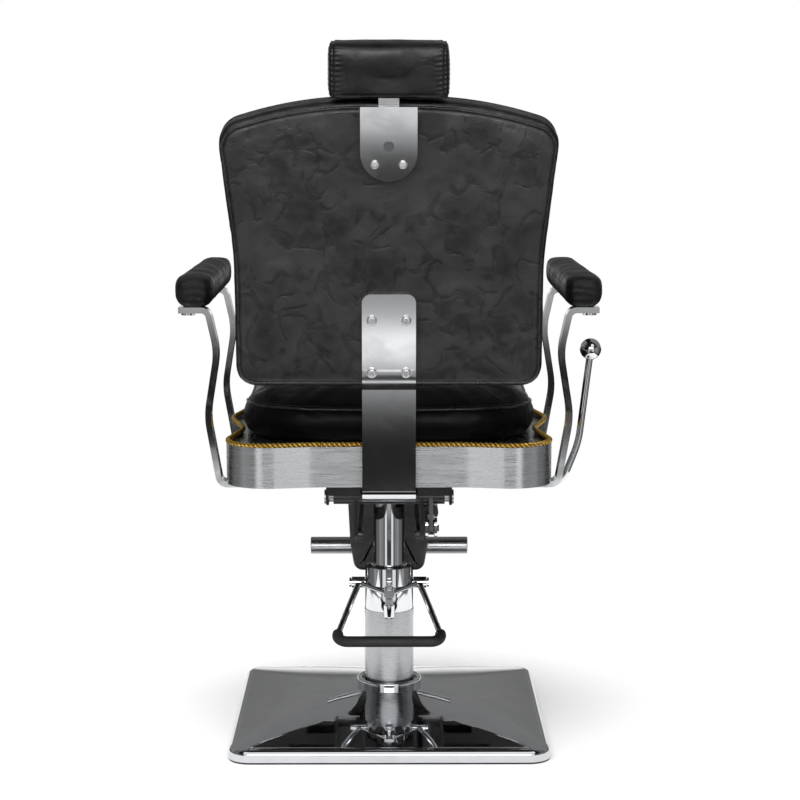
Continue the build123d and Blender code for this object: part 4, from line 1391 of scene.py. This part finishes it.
@dataclass
class LegRest:
    """Leather-wrapped board of the leg rest, its stitches and the calf pad."""

    palette: Palette
    corners: tuple[Flat, ...] = ((76, 398), (68, 240), (60, 194))
    radii: tuple[float, ...] = (12, 60, 16)
    step: float = 0.004
    seam_depth: float = 0.028
    pad_corner: float = 0.018
    stitch_inset: float = 0.0075
    edge_profile: tuple[Flat, ...] = (
        (0.0, 0.02), (0.0, 0.006), (0.0007, 0.0028), (0.0022, 0.0009), (0.0045, 0.0),
        (0.0075, 0.0), (0.0098, 0.0009), (0.0113, 0.0028), (0.012, 0.006), (0.012, 0.02),
    )
    pad_profile: tuple[Flat, ...] = (
        (0.0, 0.006), (0.002, 0.003), (0.012, 0.002), (0.024, 0.0025), (0.032, 0.006),
        (0.0365, 0.013), (0.038, 0.024),
    )

    def outline(self, inset: float) -> list[Flat]:
        """Board outline in X and Z drawn in by a distance."""
        return inset_loop(mirrored_loop(self.corners, self.radii, self.step), inset)

    def board(self) -> None:
        """Board with rounded leather edges."""
        low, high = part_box("leg_board")
        rings = []
        for depth, inset in self.edge_profile:
            rings.append([(x, high.y - depth, z) for x, z in self.outline(inset)])
        piece = lofted("leg_board_cover", rings, self.palette.panel_leather)
        publish(piece, "leg_rest", "black_leather", "leg_board", fill=0.2)
        line = [(x, high.y + 0.0001, z) for x, z in self.outline(self.stitch_inset)]
        thread = sewing("leg_stitches", stitch_paths(line, 0.0046, 0.0031), self.palette,
                        0.00045)
        publish(thread, "leg_rest", "black_leather")

    def pad(self) -> None:
        """Calf pad on the front of the board."""
        low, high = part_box("leg_pad")
        half = (high.x - low.x) / 2
        tall = (high.z - low.z) / 2
        middle = (high.z + low.z) / 2
        loop = rounded_box(half, tall, self.pad_corner, 0.006)
        rings = []
        for out, inset in self.pad_profile:
            share = (1 - inset / half, 1 - inset / tall)
            rings.append([(x * share[0], high.y - out, middle + z * share[1]) for x, z in loop])
        piece = lofted("calf_pad", rings, self.palette.soft_leather)
        back = high.y - 0.003
        Swell(voxel=0.0045, reach=0.0035).fill(piece, lambda co: co.y > back)
        displace(piece, lambda co, n: 0.0006 * ripple(co, 34.0, 4.0) if co.y < back else 0.0)
        line = evenly([(x, high.y - self.seam_depth, middle + z) for x, z in loop], 0.004)
        welt = piping("calf_welt", hugging(piece, line, 0.0003), 0.0016, self.palette)
        publish(piece, "leg_rest", "black_leather", "leg_pad", fill=0.8)
        publish(welt, "leg_rest", "black_leather")

    def build(self) -> None:
        """Make the leg rest's soft pieces."""
        self.board()
        self.pad()


@dataclass(frozen=True)
class Card:
    """A soft-edged patch of light far away, on both sides of the chair's middle plane.

    Angles are in degrees: the turn is measured from straight behind the chair, the rise from
    the horizon.
    """

    turn: float
    half_turn: float
    rise: float
    half_rise: float
    radiance: float
    soft: float = 3.0


class Sky:
    """Surroundings that polished metal mirrors: dark room, pale backdrop and light cards."""

    def __init__(self, room: float = 0.014) -> None:
        """Start an evenly dark room.

        Args:
            room: radiance of the dark parts.
        """
        self.world = bpy.data.worlds.new("studio")
        bpy.context.scene.world = self.world
        self.world.use_nodes = True
        self.tree = self.world.node_tree
        place = add_node(self.tree, "TexCoord", {}).outputs["Generated"]
        across, along, up = add_node(self.tree, "SeparateXYZ", {0: place}).outputs
        turn = self.math("ABSOLUTE", self.math("ARCTAN2", across, along))
        self.turn = self.math("MULTIPLY", turn, math.degrees(1.0))
        self.rise = self.math("MULTIPLY", self.math("ARCSINE", up), math.degrees(1.0))
        self.total = self.math("ADD", room, 0.0)

    def math(self, operation: str, first: bpy.types.NodeSocket | float,
             second: bpy.types.NodeSocket | float = 0.0) -> bpy.types.NodeSocket:
        """Join two sockets or numbers with a Math node.

        Args:
            operation: what the node does.
            first: its first input.
            second: its second input.

        Returns:
            The result's socket.
        """
        node = add_node(self.tree, "Math", {0: first, 1: second})
        node.operation = operation
        return node.outputs[0]

    def window(self, angle: bpy.types.NodeSocket, centre: float, half: float, soft: float
               ) -> bpy.types.NodeSocket:
        """1 within half of the centre and 0 outside, with soft edges.

        Args:
            angle: the turn or the rise.
            centre: middle of the window.
            half: half its width.
            soft: half the width of its edges.

        Returns:
            The window's socket.
        """
        gap = self.math("ABSOLUTE", self.math("SUBTRACT", angle, centre))
        return soft_range(self.tree, gap, (half - soft, half + soft), (1.0, 0.0))

    def patch(self, card: Card) -> bpy.types.NodeSocket:
        """1 on a card and 0 away from it."""
        return self.math(
            "MULTIPLY", self.window(self.turn, card.turn, card.half_turn, card.soft),
            self.window(self.rise, card.rise, card.half_rise, card.soft))

    def lighten(self, shape: bpy.types.NodeSocket, light: bpy.types.NodeSocket | float) -> None:
        """Add light of a given shape to the surroundings."""
        self.total = self.math("ADD", self.total, self.math("MULTIPLY", shape, light))

    def add(self, card: Card) -> None:
        """Hang one light card."""
        self.lighten(self.patch(card), card.radiance)

    def add_steps(self, steps: Sequence[Flat], half_turn: float) -> None:
        """Light behind the camera that changes with height, as (rise, radiance) steps.

        Args:
            steps: rise in degrees and radiance, lowest first.
            half_turn: how far the light reaches to each side, in degrees.
        """
        low, high = steps[0][0], steps[-1][0]
        scale = add_node(self.tree, "MapRange", {"From Min": low, "From Max": high,
                                                 "Value": self.rise})
        ramp = add_node(self.tree, "ValToRGB", {0: scale.outputs["Result"]})
        elements = ramp.color_ramp.elements
        for rise, radiance in steps[1:-1]:
            elements.new((rise - low) / (high - low)).color = (radiance,) * 3 + (1.0,)
        elements[0].color = (steps[0][1],) * 3 + (1.0,)
        elements[-1].color = (steps[-1][1],) * 3 + (1.0,)
        middle = (low + high) / 2
        shape = self.math("MULTIPLY", self.window(self.turn, 0.0, half_turn, 2.0),
                          self.window(self.rise, middle, (high - low) / 2, 0.3))
        self.lighten(shape, ramp.outputs[0])

    def finish(self, ambient: float, backdrop: float) -> None:
        """Show the cards to glossy rays only.

        Args:
            ambient: even light for matt surfaces.
            backdrop: what the camera sees behind the chair.
        """
        path = add_node(self.tree, "LightPath", {})
        mirrored, shown, behind = (
            add_node(self.tree, "Background", {"Color": value}).outputs[0]
            for value in (self.total, (ambient,) * 3 + (1.0,), (backdrop,) * 3 + (1.0,)))
        for condition, shade in (("Is Glossy Ray", mirrored), ("Is Camera Ray", behind)):
            shown = add_node(self.tree, "MixShader", {0: path.outputs[condition], 1: shown,
                                                      2: shade}).outputs[0]
        self.tree.links.new(shown, self.tree.nodes["World Output"].inputs["Surface"])


@dataclass
class Studio:
    """Floor, lights and camera."""

    focal_mm: float = 95.4
    distance: float = 3.40
    height: float = 1.003
    pitch: float = math.radians(7.9)
    yaw: float = math.radians(0.3)
    floor_half_width: float = 0.95
    floor_front: float = -0.72
    floor_back: float = 0.75
    sun_strength: float = 3.4
    sun_width: float = math.radians(70.0)
    steps_half_turn: float = 13.0
    cards: tuple[Card, ...] = (
        Card(180.0, 40.0, 1.0, 4.0, 1.0, 4.0),
        Card(180.0, 75.0, 45.0, 38.0, 0.22, 8.0),
        Card(90.0, 22.0, 20.0, 60.0, 0.14, 10.0),
        Card(24.0, 8.0, 2.0, 26.0, 0.95, 3.0),
        Card(58.0, 18.0, -8.0, 22.0, 0.24, 6.0),
        Card(0.0, 40.0, 44.0, 12.0, 1.2, 5.0),
        Card(0.0, 15.0, 15.0, 8.0, 7.0, 5.0),
    )
    steps: tuple[Flat, ...] = (
        (-22.0, 0.0), (-18.4, 0.008), (-17.6, 0.15), (-17.1, 0.52), (-16.7, 1.1), (-16.45, 1.45),
        (-16.1, 1.1), (-15.7, 0.55), (-15.1, 0.36), (-12.8, 0.28), (-12.3, 0.04), (-12.0, 0.02),
        (-11.4, 0.06), (-10.9, 0.3), (-10.4, 0.85), (-9.9, 0.95), (-9.4, 0.25), (-9.0, 0.01),
        (-7.2, 0.003), (-6.6, 0.03), (-6.1, 0.18), (-5.6, 0.4), (-5.0, 0.5), (-3.0, 0.5),
    )

    def floor(self) -> None:
        """Plain pale floor."""
        shader = Shader("pale_floor", (0.88, 0.88, 0.88), 0.0, 0.7)
        shader.gloss(shader.cloud(3.0, 3.0), 0.6, 0.75)
        shader.set(Specular_IOR_Level=0.2)
        half = self.floor_half_width
        corners = [(-half, self.floor_front, 0.0), (half, self.floor_front, 0.0),
                   (half, self.floor_back, 0.0), (-half, self.floor_back, 0.0)]
        piece = new_piece("studio_floor", corners, [(0, 1, 2, 3)], shader.material)

    def overhead(self) -> None:
        """Broad soft light from above that matt surfaces see."""
        data = bpy.data.lights.new("overhead", "SUN")
        data.energy = self.sun_strength
        data.angle = self.sun_width
        lamp = bpy.data.objects.new("overhead", data)
        lamp.rotation_euler = Vector((-0.1, -0.3, -1.0)).to_track_quat("-Z", "Y").to_euler()
        lamp.visible_glossy = False
        bpy.context.scene.collection.objects.link(lamp)

    def camera(self) -> None:
        """Camera behind the chair, a little above it."""
        data = bpy.data.cameras.new("view")
        data.lens = self.focal_mm
        data.sensor_width = 36.0
        data.clip_end = 100.0
        camera = bpy.data.objects.new("view", data)
        camera.location = (0.0, self.distance, self.height)
        camera.rotation_euler = (math.pi / 2 - self.pitch, 0.0, math.pi - self.yaw)
        bpy.context.scene.collection.objects.link(camera)
        bpy.context.scene.camera = camera

    def build(self) -> None:
        """Set the whole stage."""
        bpy.context.scene.view_settings.view_transform = "Standard"
        self.floor()
        sky = Sky()
        for card in self.cards:
            sky.add(card)
        sky.add_steps(self.steps, self.steps_half_turn)
        sky.finish(ambient=0.5, backdrop=1.0)
        self.overhead()
        self.camera()


def main() -> None:
    """Build every piece of the chair and the studio, in order."""
    logging.basicConfig(level=logging.INFO, format="%(name)s: %(message)s")
    palette = Palette()
    axes = BackFrame()
    Studio().build()
    Hardware(palette).dress()
    Seat(palette).build()
    Back(palette, axes).build()
    Headrest(palette, axes).build()
    ArmPads(palette).build()
    LegRest(palette).build()


if __name__ == "__main__":
    main()
